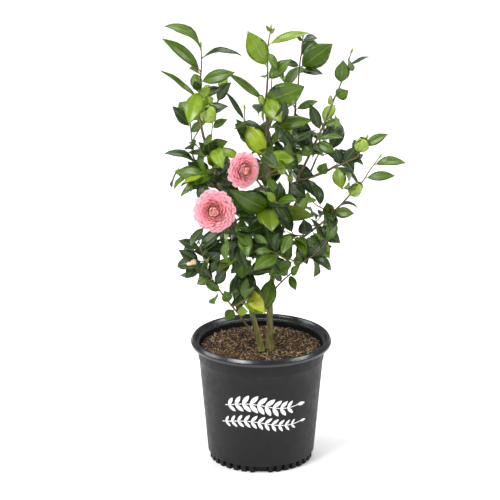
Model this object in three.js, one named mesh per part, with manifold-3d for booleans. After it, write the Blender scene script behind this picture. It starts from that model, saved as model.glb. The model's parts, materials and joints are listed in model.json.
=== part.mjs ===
// Camellia shrub in a round black nursery pot.
//
// Millimetres, +Z up. The origin is the centre of the pot's flat underside. The shrub's front, which
// carries its two open blooms, faces -Y, and its broader side reaches towards +X.
//
// Two stems leave the growing mix side by side. Each limb after them names the limb that it leaves, how
// far along it starts, and where it goes. Each mass of leaves is an uneven closed solid round the end of
// a bough, or between boughs, and is cut back where a limb or a neighbour already takes the space.

import * as THREE from 'three';
import { mergeVertices } from 'three/addons/utils/BufferGeometryUtils.js';
import Module from 'manifold-3d';

const wasm = await Module();
wasm.setup();

// ---------------------------------------------------------------- driving dimensions

const POT_HEIGHT = 251;
const RIM_RADIUS = 140;
const LIP_HEIGHT = 14; // of the rolled lip round the mouth
const NECK_RADIUS = 125; // of the wall just under the lip
const FOOT_RADIUS = 105;
const WALL = 2.2;
const FLOOR = 3;
const SHOULDER_DROP = 28; // from the lip's lower edge down to the faint step in the wall
const SHOULDER_STEP = 1.6;
const POT_SIDES = 40;

const FOOT_RING = 8; // thickness of the wall's foot, which the notches are cut into
const NOTCH = { count: 36, width: 6, depth: 4.5, height: 13 };
const DRAIN = { count: 4, width: 29, depth: 5.5, height: 13 };

const SOIL_LEVEL = 234;
const SOIL_CROWNING = 2.5; // how much lower the mix lies at the wall than in the middle

// the whole crown's width and height, over the sizes listed for its limbs and masses
const CROWN_SPREAD = 1.02;
const CROWN_RISE = 1.028;

const GAP = 0.3; // between touching solids
const LIMB_CLEARANCE = 0.6; // round a limb, where a limb or a mass is cut by it
const MASS_CLEARANCE = 1.4; // between two masses
const LIMB_SIDES = 8;
const LIMB_STEP = 38; // between a limb's rings
const MASS_SIDES = 11;
const MASS_RINGS = 7;
const FULLNESS = 0.62; // of a mass's outline: 1 is a spindle, 0.5 is an egg
const UNEVEN_SIDES = 0.28; // how far its sides swell and dip, as a share of its spread
const UNEVEN_HEIGHT = 0.16;

// ---------------------------------------------------------------- finishes

const BLACK_PLASTIC = { color: 0x2c2e31, roughness: 0.48, metalness: 0 };
const BARK_MIX = { color: 0x5d4230, roughness: 0.95, metalness: 0 };
const OLD_BARK = { color: 0x7b6a4c, roughness: 0.85, metalness: 0 };
const YOUNG_BARK = { color: 0x8d6b45, roughness: 0.8, metalness: 0 };
const DEEP_LEAVES = { color: 0x2c5128, roughness: 0.55, metalness: 0 };
const LEAVES = { color: 0x437033, roughness: 0.5, metalness: 0 };
const FRESH_LEAVES = { color: 0x6c9a3f, roughness: 0.5, metalness: 0 };

// ---------------------------------------------------------------- small tools

const radians = THREE.MathUtils.degToRad;

/** A closed THREE geometry as a manifold solid. */
function toSolid(geometry) {
  const bare = geometry.clone();
  bare.deleteAttribute('normal');
  bare.deleteAttribute('uv');
  const merged = mergeVertices(bare, 1e-4);
  return new wasm.Manifold(new wasm.Mesh({
    numProp: 3,
    vertProperties: new Float32Array(merged.attributes.position.array),
    triVerts: new Uint32Array(merged.index.array),
  }));
}

/** A manifold solid's vertices and triangles as a THREE geometry. */
function toGeometry(solid) {
  const mesh = solid.getMesh();
  const geometry = new THREE.BufferGeometry();
  geometry.setAttribute('position', new THREE.BufferAttribute(mesh.vertProperties, 3));
  geometry.setIndex(new THREE.BufferAttribute(mesh.triVerts, 1));
  geometry.computeVertexNormals();
  return geometry;
}

/** The biggest piece of a solid that a cut has left in several. */
function biggestPiece(solid) {
  return solid.decompose().reduce((best, piece) => (piece.volume() > best.volume() ? piece : best));
}

/** Closed skin over rings of points that share a winding, with a point at each end. */
function skin(rings, start, end) {
  const sides = rings[0].length;
  const corners = [start, ...rings.flat(), end];
  const last = corners.length - 1;
  const at = (ring, side) => 1 + ring * sides + (side % sides);
  const triangles = [];
  for (let side = 0; side < sides; side += 1) {
    triangles.push(0, at(0, side + 1), at(0, side));
    for (let ring = 0; ring < rings.length - 1; ring += 1) {
      const [a, b] = [at(ring, side), at(ring, side + 1)];
      const [c, d] = [at(ring + 1, side + 1), at(ring + 1, side)];
      triangles.push(a, b, c, a, c, d);
    }
    triangles.push(last, at(rings.length - 1, side), at(rings.length - 1, side + 1));
  }
  const geometry = new THREE.BufferGeometry();
  geometry.setAttribute('position', new THREE.Float32BufferAttribute(corners.flatMap((p) => p.toArray()), 3));
  geometry.setIndex(triangles);
  return geometry;
}

/** Smooth, seeded unevenness round a solid, between about -1 and 1. */
function unevenness(seed, angle, height) {
  const broad = Math.sin(2 * angle + 1.7 * seed + 3.1 * height);
  const middling = Math.sin(3 * angle + 4.3 * seed - 5.3 * height);
  const small = Math.sin(5 * angle + 2.9 * seed + 9.7 * height);
  return 0.45 * broad + 0.33 * middling + 0.22 * small;
}

// ---------------------------------------------------------------- pot and growing mix

/** The pot turned in one piece: flat underside, stepped wall, rolled lip. */
function potBody() {
  const lipFoot = POT_HEIGHT - LIP_HEIGHT;
  const shoulder = lipFoot - SHOULDER_DROP;
  const lipTop = POT_HEIGHT;
  const innerNeck = NECK_RADIUS - WALL;
  const innerFoot = FOOT_RADIUS - FOOT_RING;
  const profile = [
    [0, 0],
    [FOOT_RADIUS - 3, 0],
    [FOOT_RADIUS, 3],
    [NECK_RADIUS - SHOULDER_STEP, shoulder],
    [NECK_RADIUS, shoulder + 3],
    [NECK_RADIUS + 1, lipFoot],
    [RIM_RADIUS - 3, lipFoot],
    [RIM_RADIUS, lipTop - 9],
    [RIM_RADIUS - 1.5, lipTop - 3],
    [RIM_RADIUS - 5, lipTop],
    [RIM_RADIUS - 9, lipTop - 2],
    [NECK_RADIUS + 1.5, lipTop - 10],
    [innerNeck, lipTop - 12],
    [innerNeck - SHOULDER_STEP, shoulder],
    [FOOT_RADIUS - WALL + 1, 18],
    [innerFoot, 12],
    [innerFoot - 2, FLOOR],
    [0, FLOOR],
  ];
  const turned = new THREE.LatheGeometry(profile.map(([r, z]) => new THREE.Vector2(r, z)), POT_SIDES);
  return turned.rotateX(Math.PI / 2);
}

/** One of the recesses cut into the pot's foot from below, at a bearing in degrees. */
function footRecess({ width, depth, height }, bearing) {
  const outside = 6;
  const block = new THREE.BoxGeometry(depth + outside, width, 2 * height);
  block.translate(FOOT_RADIUS - depth + (depth + outside) / 2, 0, 0);
  return toSolid(block.rotateZ(radians(bearing)));
}

/** The pot with the notches between its small feet, and its wide drain openings front, back and sides. */
function pot() {
  let solid = toSolid(potBody());
  const pitch = 360 / NOTCH.count;
  for (let i = 0; i < NOTCH.count; i += 1) {
    const bearing = (i + 0.5) * pitch;
    solid = solid.subtract(footRecess(NOTCH, bearing));
  }
  for (let i = 0; i < DRAIN.count; i += 1) {
    solid = solid.subtract(footRecess(DRAIN, -90 + (i * 360) / DRAIN.count));
  }
  return solid;
}

/** The growing mix: it fills the pot to SOIL_LEVEL, clear of the wall by GAP. */
function growingMix() {
  const inside = NECK_RADIUS - WALL - GAP;
  const shoulder = POT_HEIGHT - LIP_HEIGHT - SHOULDER_DROP;
  const foot = FOOT_RADIUS - FOOT_RING - GAP;
  const edge = SOIL_LEVEL - SOIL_CROWNING;
  const profile = [
    [0, FLOOR + GAP],
    [foot - 3, FLOOR + GAP],
    [foot - 0.5, 12],
    [FOOT_RADIUS - WALL - 1, 19],
    [inside - SHOULDER_STEP - 0.5, shoulder],
    [inside - 0.6, edge],
    [0.72 * inside, SOIL_LEVEL - 0.5 * SOIL_CROWNING],
    [0.34 * inside, SOIL_LEVEL],
    [0, SOIL_LEVEL],
  ];
  const turned = new THREE.LatheGeometry(profile.map(([r, z]) => new THREE.Vector2(r, z)), POT_SIDES);
  return toSolid(turned.rotateX(Math.PI / 2));
}

// ---------------------------------------------------------------- stems and boughs

// from: the limb that it leaves, and at: how far along that one, from 0 to 1
// bearing: degrees from +X towards +Y, reach: level distance covered, rise: height gained
// sway: how far it swings out past the straight line at a third and at two thirds of its length
// radius: at its start and its tip, flare: extra radius where it leaves the mix
const STEMS = [
  {
    name: 'main_stem', foot: [17, -18], bearing: 42, reach: 18, rise: 186,
    sway: [-6, -9], radius: [6.9, 5], flare: 3,
  },
  {
    name: 'left_stem', foot: [1, -34], bearing: 170, reach: 84, rise: 345,
    sway: [0, -11], radius: [5.4, 3.8], flare: 2.2,
  },
];
const BOUGHS = [
  {
    name: 'centre_leader', from: 'main_stem', at: 1, bearing: 150, reach: 26, rise: 300,
    sway: [5, 1], radius: [4.2, 2.6],
  },
  {
    name: 'right_centre_leader', from: 'main_stem', at: 1, bearing: 57, reach: 65, rise: 274,
    sway: [18, 9], radius: [3.7, 2.2],
  },
  {
    name: 'right_leader', from: 'right_centre_leader', at: 0.34, bearing: -22, reach: 96, rise: 222,
    sway: [0, 3], radius: [3, 1.8],
  },
  {
    name: 'right_side_bough', from: 'right_leader', at: 0.2, bearing: -30, reach: 132, rise: 70,
    sway: [8, 3], radius: [2.2, 1.5],
  },
  {
    name: 'right_low_bough', from: 'main_stem', at: 1, bearing: -15, reach: 168, rise: 160,
    sway: [14, 10], radius: [2.6, 1.5],
  },
  {
    name: 'right_foot_twig', from: 'main_stem', at: 0.56, bearing: -30, reach: 71, rise: 82,
    sway: [-4, -4], radius: [1.9, 1.2],
  },
  {
    name: 'left_leader', from: 'left_stem', at: 1, bearing: -159, reach: 39, rise: 134,
    sway: [4, 6], radius: [3.5, 2.2],
  },
  {
    name: 'left_side_bough', from: 'left_stem', at: 0.9, bearing: 153, reach: 71, rise: 94,
    sway: [22, 20], radius: [2.3, 1.5],
  },
  {
    name: 'left_foot_bough', from: 'left_stem', at: 0.055, bearing: -161, reach: 93, rise: 130,
    sway: [0, 0], radius: [2.4, 1.5],
  },
  {
    name: 'front_left_bough', from: 'left_stem', at: 0.66, bearing: -118, reach: 78, rise: 66,
    sway: [7, 4], radius: [2.4, 1.8],
  },
  {
    name: 'front_centre_bough', from: 'centre_leader', at: 0.4, bearing: -118, reach: 70, rise: 60,
    sway: [7, 4], radius: [2.4, 1.8],
  },
  {
    name: 'back_left_bough', from: 'left_stem', at: 0.6, bearing: 118, reach: 86, rise: 96,
    sway: [10, 6], radius: [2.8, 1.8],
  },
  {
    name: 'back_centre_bough', from: 'centre_leader', at: 0.33, bearing: 92, reach: 92, rise: 118,
    sway: [12, 7], radius: [2.8, 1.8],
  },
  {
    name: 'back_right_bough', from: 'right_centre_leader', at: 0.22, bearing: 48, reach: 92, rise: 104,
    sway: [10, 6], radius: [2.8, 1.8],
  },
];

/** A limb's centre line, a smooth curve from its start through its two swayed thirds to its tip. */
function limbLine({ bearing, reach, rise, sway }, start) {
  const out = new THREE.Vector3(Math.cos(radians(bearing)), Math.sin(radians(bearing)), 0);
  const along = (part, swing) => start.clone()
    .addScaledVector(out, part * reach * CROWN_SPREAD + swing)
    .add(new THREE.Vector3(0, 0, part * rise * CROWN_RISE));
  return new THREE.CatmullRomCurve3([along(0, 0), along(1 / 3, sway[0]), along(2 / 3, sway[1]), along(1, 0)]);
}

/** One tapering limb along its line. Grown, it is the same limb a little fatter and longer, to cut with. */
function limbSolid({ radius, flare = 0 }, line, grown = 0) {
  const steps = Math.max(3, Math.round(line.getLength() / LIMB_STEP) + (flare ? 2 : 0));
  const frames = line.computeFrenetFrames(steps);
  const rings = [];
  for (let i = 0; i <= steps; i += 1) {
    const part = i / steps;
    const thick = THREE.MathUtils.lerp(radius[0], radius[1], part) + flare * Math.exp(-part * 16) + grown;
    const beyond = (i === 0 ? -grown : 0) + (i === steps ? grown : 0);
    const centre = line.getPointAt(part).addScaledVector(frames.tangents[i], beyond);
    if (flare && i === 0) {
      centre.z = SOIL_LEVEL + GAP - grown;
    }
    rings.push(Array.from({ length: LIMB_SIDES }, (_, side) => {
      const angle = (2 * Math.PI * side) / LIMB_SIDES;
      const corner = centre.clone()
        .addScaledVector(frames.normals[i], thick * Math.cos(angle))
        .addScaledVector(frames.binormals[i], thick * Math.sin(angle));
      if (flare && i === 0) {
        corner.z = centre.z;
      }
      return corner;
    }));
  }
  const middle = (ring) => ring.reduce((sum, p) => sum.add(p), new THREE.Vector3()).divideScalar(LIMB_SIDES);
  return toSolid(skin(rings, middle(rings[0]), middle(rings[steps])));
}

// ---------------------------------------------------------------- masses of leaves

// middle and size: of the box that holds the mass, as x, y, z
// lean: how far its top stands out past its foot, as x, y, fullest: the height of its widest part, 0 to 1
const MASSES = [
  // the four leaders' own tops, which give the crown its outline
  {
    name: 'left_leader_top', middle: [-113, -20, 776], size: [166, 112, 192],
    lean: [0, 0], fullest: 0.68, leaves: LEAVES,
  },
  {
    name: 'centre_leader_top', middle: [8, 2, 776], size: [182, 120, 172],
    lean: [10, 0], fullest: 0.5, leaves: FRESH_LEAVES,
  },
  {
    name: 'right_centre_leader_top', middle: [96, 48, 776], size: [98, 100, 114],
    lean: [16, 0], fullest: 0.6, leaves: LEAVES,
  },
  {
    name: 'right_leader_top', middle: [172, -20, 758], size: [92, 80, 106],
    lean: [44, 0], fullest: 0.6, leaves: LEAVES,
  },
  // the left side, from the shoulder down
  {
    name: 'left_shoulder', middle: [-92, -22, 622], size: [86, 104, 124],
    lean: [-16, 0], fullest: 0.5, leaves: DEEP_LEAVES,
  },
  {
    name: 'left_side_top', middle: [-146, 30, 690], size: [54, 62, 122],
    lean: [-6, 0], fullest: 0.5, leaves: LEAVES,
  },
  {
    name: 'left_tip', middle: [-162, 14, 560], size: [94, 74, 92],
    lean: [-20, 0], fullest: 0.55, leaves: DEEP_LEAVES,
  },
  {
    name: 'front_left_spray', middle: [-88, -76, 497], size: [110, 104, 142],
    lean: [0, -20], fullest: 0.5, leaves: DEEP_LEAVES,
  },
  {
    name: 'left_foot_spray', middle: [-114, -52, 372], size: [84, 56, 136],
    lean: [-14, 0], fullest: 0.55, leaves: DEEP_LEAVES,
  },
  {
    name: 'foot_spray', middle: [-36, -52, 360], size: [82, 52, 122],
    lean: [-10, 0], fullest: 0.6, leaves: LEAVES,
  },
  // the middle, front
  {
    name: 'centre_spray', middle: [12, -50, 636], size: [124, 92, 136],
    lean: [0, -16], fullest: 0.5, leaves: FRESH_LEAVES,
  },
  {
    name: 'front_low_spray', middle: [18, -70, 500], size: [118, 100, 144],
    lean: [0, -12], fullest: 0.5, leaves: LEAVES,
  },
  // the right side
  {
    name: 'right_shoulder', middle: [150, -24, 654], size: [82, 90, 92],
    lean: [12, 0], fullest: 0.5, leaves: LEAVES,
  },
  {
    name: 'right_tip', middle: [221, -48, 622], size: [126, 58, 124],
    lean: [44, 0], fullest: 0.58, leaves: LEAVES,
  },
  {
    name: 'right_middle_spray', middle: [112, -54, 556], size: [98, 84, 88],
    lean: [12, 0], fullest: 0.5, leaves: DEEP_LEAVES,
  },
  {
    name: 'right_low_spray', middle: [124, -52, 468], size: [98, 76, 84],
    lean: [14, 0], fullest: 0.5, leaves: LEAVES,
  },
  {
    name: 'right_inner_spray', middle: [92, 34, 656], size: [88, 84, 124],
    lean: [4, 0], fullest: 0.5, leaves: DEEP_LEAVES,
  },
  {
    name: 'right_foot_spray', middle: [66, -52, 392], size: [96, 56, 96],
    lean: [10, 0], fullest: 0.6, leaves: LEAVES,
  },
  // the back, where the crown is as full as in front
  {
    name: 'back_left_spray', middle: [-92, 92, 552], size: [140, 124, 150],
    lean: [-10, 20], fullest: 0.5, leaves: DEEP_LEAVES,
  },
  {
    name: 'back_left_top', middle: [-72, 74, 690], size: [112, 104, 136],
    lean: [-6, 8], fullest: 0.5, leaves: LEAVES,
  },
  {
    name: 'back_centre_top', middle: [18, 96, 700], size: [112, 104, 140],
    lean: [0, 12], fullest: 0.5, leaves: LEAVES,
  },
  {
    name: 'back_centre_spray', middle: [14, 128, 570], size: [128, 124, 142],
    lean: [0, 20], fullest: 0.5, leaves: DEEP_LEAVES,
  },
  {
    name: 'back_low_spray', middle: [-6, 78, 450], size: [150, 96, 116],
    lean: [0, 12], fullest: 0.5, leaves: DEEP_LEAVES,
  },
  {
    name: 'back_right_spray', middle: [124, 96, 590], size: [128, 124, 146],
    lean: [16, 14], fullest: 0.5, leaves: LEAVES,
  },
  {
    name: 'back_right_low', middle: [104, 62, 468], size: [110, 104, 104],
    lean: [10, 10], fullest: 0.5, leaves: DEEP_LEAVES,
  },
];

/** Moves corners along x and y so that together they fill a span each way round a middle. */
function fillBox(corners, middle, halves) {
  for (const [axis, i] of [['x', 0], ['y', 1]]) {
    const values = corners.map((corner) => corner[axis]);
    const low = Math.min(...values);
    const high = Math.max(...values);
    for (const corner of corners) {
      corner[axis] = middle[i] + halves[i] * ((2 * (corner[axis] - low)) / (high - low) - 1);
    }
  }
}

/** An uneven closed solid that fills its box, standing on end, and numbered so that no two are alike. */
function massSolid({ middle: listed, size, lean, fullest }, number, grown = 0) {
  const crown = [CROWN_SPREAD, CROWN_SPREAD, CROWN_RISE];
  const middle = listed.map((place, axis) => place * crown[axis]);
  const [wide, deep, high] = size.map((s, axis) => (s * crown[axis]) / 2 + grown);
  const roundness = Math.log(0.5) / Math.log(fullest);
  const spine = (height) => new THREE.Vector3(
    middle[0] + lean[0] * (height - 0.5),
    middle[1] + lean[1] * (height - 0.5),
    middle[2] + high * (2 * height - 1),
  );
  const rings = [];
  for (let ring = 1; ring <= MASS_RINGS; ring += 1) {
    const height = 0.5 - 0.5 * Math.cos((Math.PI * ring) / (MASS_RINGS + 1));
    const swell = Math.sin(Math.PI * height ** roundness) ** FULLNESS;
    rings.push(Array.from({ length: MASS_SIDES }, (_, side) => {
      const angle = (2 * Math.PI * side) / MASS_SIDES;
      const spread = swell * (1 + UNEVEN_SIDES * unevenness(number, angle, height));
      const lift = UNEVEN_HEIGHT * high * swell * unevenness(number + 0.5, angle, height);
      return spine(height).add(new THREE.Vector3(
        (wide - Math.abs(lean[0]) / 4) * spread * Math.cos(angle),
        (deep - Math.abs(lean[1]) / 4) * spread * Math.sin(angle),
        lift,
      ));
    }));
  }
  fillBox(rings.flat(), middle, [wide, deep]);
  return toSolid(skin(rings, spine(0), spine(1)));
}

// ---------------------------------------------------------------- assembly

const shrub = new THREE.Group();

function add(name, solid, finish) {
  const mesh = new THREE.Mesh(toGeometry(solid), new THREE.MeshStandardMaterial(finish));
  mesh.name = name;
  shrub.add(mesh);
}

function overlaps(a, b) {
  const [p, q] = [a.boundingBox(), b.boundingBox()];
  return [0, 1, 2].every((axis) => p.min[axis] < q.max[axis] && q.min[axis] < p.max[axis]);
}

/** A solid less all the others that it meets. */
function cutBy(solid, others) {
  return others.reduce((left, other) => (overlaps(left, other) ? left.subtract(other) : left), solid);
}

add('pot', pot(), BLACK_PLASTIC);
add('growing_mix', growingMix(), BARK_MIX);

const lines = {};
const taken = [];
for (const limb of [...STEMS, ...BOUGHS]) {
  const start = limb.foot
    ? new THREE.Vector3(limb.foot[0], limb.foot[1], SOIL_LEVEL)
    : lines[limb.from].getPointAt(limb.at);
  const line = limbLine(limb, start);
  lines[limb.name] = line;
  add(limb.name, biggestPiece(cutBy(limbSolid(limb, line), taken)), limb.foot ? OLD_BARK : YOUNG_BARK);
  taken.push(limbSolid(limb, line, LIMB_CLEARANCE));
}

MASSES.forEach((mass, number) => {
  add(mass.name, biggestPiece(cutBy(massSolid(mass, number), taken)), mass.leaves);
  taken.push(massSolid(mass, number, MASS_CLEARANCE));
});

export default shrub;
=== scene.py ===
"""Camellia shrub in a round black nursery pot: two stems, open leafy leaders, two formal double blooms
and fat buds. Lengths written in millimetres are turned to metres by MM. Left, right, up and forward are
as seen from the shrub's front, which faces -Y."""

import json
import math
import random

import bpy
import numpy as np
from mathutils import Matrix, Vector, noise


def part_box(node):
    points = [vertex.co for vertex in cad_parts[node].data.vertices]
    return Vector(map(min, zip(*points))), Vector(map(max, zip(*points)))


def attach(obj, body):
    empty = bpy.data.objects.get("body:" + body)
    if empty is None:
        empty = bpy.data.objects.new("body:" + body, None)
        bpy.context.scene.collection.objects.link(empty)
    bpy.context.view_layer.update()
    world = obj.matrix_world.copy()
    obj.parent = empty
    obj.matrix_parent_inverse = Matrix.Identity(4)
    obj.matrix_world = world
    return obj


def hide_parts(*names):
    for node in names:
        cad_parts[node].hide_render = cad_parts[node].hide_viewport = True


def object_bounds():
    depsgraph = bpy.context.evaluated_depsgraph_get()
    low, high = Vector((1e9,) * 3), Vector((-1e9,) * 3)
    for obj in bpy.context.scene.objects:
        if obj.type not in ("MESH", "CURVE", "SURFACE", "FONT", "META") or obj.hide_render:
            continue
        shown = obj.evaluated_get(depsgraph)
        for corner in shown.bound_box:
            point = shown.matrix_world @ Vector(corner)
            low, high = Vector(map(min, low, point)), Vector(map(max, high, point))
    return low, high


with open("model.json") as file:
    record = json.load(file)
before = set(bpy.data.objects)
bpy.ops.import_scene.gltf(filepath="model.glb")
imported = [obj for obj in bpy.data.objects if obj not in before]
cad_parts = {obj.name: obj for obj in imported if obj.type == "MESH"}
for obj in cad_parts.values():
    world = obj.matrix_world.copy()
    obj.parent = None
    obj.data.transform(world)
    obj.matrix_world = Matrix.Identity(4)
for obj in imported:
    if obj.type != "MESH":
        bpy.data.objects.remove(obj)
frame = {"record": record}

CAD_BOX = [list(corner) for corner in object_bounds()]

MM = 0.001
UP = Vector((0, 0, 1))
FRONT = Vector((0, -1, 0))
GOLDEN = math.radians(137.5)  # between one leaf and the next round a shoot
LOOK_DOWN = math.radians(18.9)  # how far the camera looks down on the shrub

POT_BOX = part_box("pot")  # the pot's lowest and highest corners
POT_HEIGHT = POT_BOX[1].z
RIM_RADIUS = POT_BOX[1].x
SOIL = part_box("growing_mix")[1].z
MIX_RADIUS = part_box("growing_mix")[1].x


# ---------------------------------------------------------------- nodes, and pieces made by Geometry Nodes


class Nodes:
    """A node tree, kept as self.tree, that nodes are added to."""

    def node(self, kind, out=0, settings=None, **inputs):
        """Adds a node and returns one of its outputs. An input is a value or another node's output, and is
        named as its socket is, with _ for a space, or n0, n1 by its place."""
        made = self.tree.nodes.new(kind)
        for key, value in (settings or {}).items():
            setattr(made, key, value)
        for key, value in inputs.items():
            by_place = key[0] == "n" and key[1:].isdigit()
            socket = made.inputs[int(key[1:]) if by_place else key.replace("_", " ")]
            if isinstance(value, bpy.types.NodeSocket):
                self.tree.links.new(value, socket)
            else:
                socket.default_value = value
        return made.outputs[out]

    def maths(self, operation, a, b=0.0):
        return self.node("ShaderNodeMath", settings={"operation": operation}, n0=a, n1=b)


class Tree(Nodes):
    """A Geometry Nodes tree with named inputs, which grown() applies to a piece's starting mesh."""

    def __init__(self, name, **inputs):
        self.tree = bpy.data.node_groups.new(name, "GeometryNodeTree")
        face = self.tree.interface
        self.sockets = {
            label: face.new_socket(label, in_out="INPUT", socket_type="NodeSocket" + kind).identifier
            for label, kind in {"Geometry": "Geometry", **inputs}.items()
        }
        face.new_socket("Geometry", in_out="OUTPUT", socket_type="NodeSocketGeometry")
        self.given = self.tree.nodes.new("NodeGroupInput").outputs
        self.end = self.tree.nodes.new("NodeGroupOutput")

    def attribute(self, name, kind):
        return self.node("GeometryNodeInputNamedAttribute", settings={"data_type": kind}, Name=name)

    def set_out(self, points, which, turn, size):
        """One of the Shapes on each point, made real, with a material on each of its three skins, which are
        the faces whose skin attribute is 0, 1 and 2."""
        shapes = self.node(
            "GeometryNodeCollectionInfo", Collection=self.given["Shapes"], Separate_Children=True,
            Reset_Children=True,
        )
        placed = self.node(
            "GeometryNodeInstanceOnPoints", Points=points, Instance=shapes, Pick_Instance=True,
            Instance_Index=which, Rotation=self.node("FunctionNodeEulerToRotation", n0=turn), Scale=size,
        )
        geometry = self.node("GeometryNodeRealizeInstances", Geometry=placed)
        skin = self.attribute("skin", "INT")
        for number, label in enumerate(SKINS):
            chosen = self.node(
                "FunctionNodeCompare", settings={"data_type": "INT", "operation": "EQUAL"}, n2=skin, n3=number
            )
            geometry = self.node(
                "GeometryNodeSetMaterial", Geometry=geometry, Selection=chosen, Material=self.given[label]
            )
        return self.finish(geometry)

    def finish(self, geometry):
        self.tree.links.new(geometry, self.end.inputs[0])
        return self


SKINS = ("First", "Second", "Third")
COATS = dict.fromkeys(SKINS, "Material")


def stations_tree():
    """Sets one of the Shapes on each vertex, turned, sized and chosen by the vertex's own attributes."""
    tree = Tree("set_out_shapes", Shapes="Collection", **COATS)
    return tree.set_out(
        tree.given["Geometry"], tree.attribute("shape", "INT"), tree.attribute("turn", "FLOAT_VECTOR"),
        tree.attribute("size", "FLOAT_VECTOR"),
    )


def scatter_tree():
    """Sets the Shapes out loose over a surface, each chosen, turned and sized at random."""
    tree = Tree(
        "strewn", Shapes="Collection", Density="Float", Seed="Int", Smallest="Float", Largest="Float",
        Tilt="Float", Last_shape="Int", **COATS,
    )
    given = tree.given

    def drawn(kind, out, **limits):
        return tree.node("FunctionNodeRandomValue", out, {"data_type": kind}, Seed=given["Seed"], **limits)

    spots = tree.node(
        "GeometryNodeDistributePointsOnFaces", Mesh=given["Geometry"], Density=given["Density"],
        Seed=given["Seed"],
    )
    which = drawn("INT", 2, n4=0, n5=given["Last_shape"])
    most = given["Tilt"]
    least = tree.maths("MULTIPLY", most, -1.0)
    low = tree.node("ShaderNodeCombineXYZ", n0=least, n1=least, n2=0.0)
    high = tree.node("ShaderNodeCombineXYZ", n0=most, n1=most, n2=2 * math.pi)
    size = drawn("FLOAT", 1, n2=given["Smallest"], n3=given["Largest"])
    return tree.set_out(spots, which, drawn("FLOAT_VECTOR", 0, n0=low, n1=high), size)


def bark_tree():
    """A round skin along each line of the mesh, as thick as its vertices say, with cracks along the grain."""
    tree = Tree("bark_skin", Sides="Int", Relief="Float", Grain="Float", Seed="Float", Bark="Material")
    given = tree.given
    line = tree.node("GeometryNodeMeshToCurve", Mesh=given["Geometry"])
    ring = tree.node("GeometryNodeCurvePrimitiveCircle", Resolution=given["Sides"], Radius=1.0)
    skin = tree.node(
        "GeometryNodeCurveToMesh", Curve=line, Profile_Curve=ring, Scale=tree.attribute("thick", "FLOAT"),
        Fill_Caps=True,
    )
    along = tree.node(
        "ShaderNodeVectorMath", settings={"operation": "MULTIPLY"}, n0=tree.node("GeometryNodeInputPosition"),
        n1=(1.0, 1.0, 0.22),
    )
    cracks = tree.node(
        "ShaderNodeTexNoise", settings={"noise_dimensions": "4D"}, Vector=along, W=given["Seed"],
        Scale=given["Grain"], Detail=4.0, Roughness=0.6,
    )
    height = tree.maths("MULTIPLY", tree.maths("SUBTRACT", cracks, 0.5), given["Relief"])
    offset = tree.node(
        "ShaderNodeVectorMath", settings={"operation": "SCALE"}, n0=tree.node("GeometryNodeInputNormal"),
        Scale=height,
    )
    moved = tree.node("GeometryNodeSetPosition", Geometry=skin, Offset=offset)
    smooth = tree.node("GeometryNodeSetShadeSmooth", n0=moved)
    real = tree.node("GeometryNodeRealizeInstances", Geometry=smooth)
    return tree.finish(tree.node("GeometryNodeSetMaterial", Geometry=real, Material=given["Bark"]))


def plain_mesh(name, verts, edges=(), faces=(), **attributes):
    """A mesh. An attribute is given as where it belongs, its type, the key it is set by, and its values."""
    mesh = bpy.data.meshes.new(name)
    mesh.from_pydata(verts, edges, faces)
    for label, (domain, kind, key, values) in attributes.items():
        mesh.attributes.new(label, kind, domain).data.foreach_set(key, values)
    return mesh


def in_scene(name, data):
    made = bpy.data.objects.new(name, data)
    bpy.context.scene.collection.objects.link(made)
    return made


def declare(piece, slot, *replaced):
    """Every piece rides on the one body. Some stand for nodes of the CAD model."""
    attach(piece, "root")
    if replaced:
        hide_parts(*replaced)


def grown(name, mesh, tree, **values):
    """The plain mesh object that a tree makes of a starting mesh."""
    base = in_scene(name + "_start", mesh)
    modifier = base.modifiers.new("grow", "NODES")
    modifier.node_group = tree.tree
    for label, value in values.items():
        modifier[tree.sockets[label]] = value
    graph = bpy.context.evaluated_depsgraph_get()
    result = bpy.data.meshes.new_from_object(
        base.evaluated_get(graph), preserve_all_data_layers=True, depsgraph=graph
    )
    base.modifiers.remove(modifier)
    bpy.data.objects.remove(base)
    for spare in ("turn", "size", "shape", "thick"):
        if spare in result.attributes:
            result.attributes.remove(result.attributes[spare])
    result.name = name
    return in_scene(name, result)


# ---------------------------------------------------------------- materials


def shaded(colour, by):
    return tuple(min(1.0, part * by) for part in colour)


def mixed(colour, other, share):
    """A colour with a share of another in it."""
    return tuple((1 - share) * a + share * b for a, b in zip(colour, other))


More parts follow.
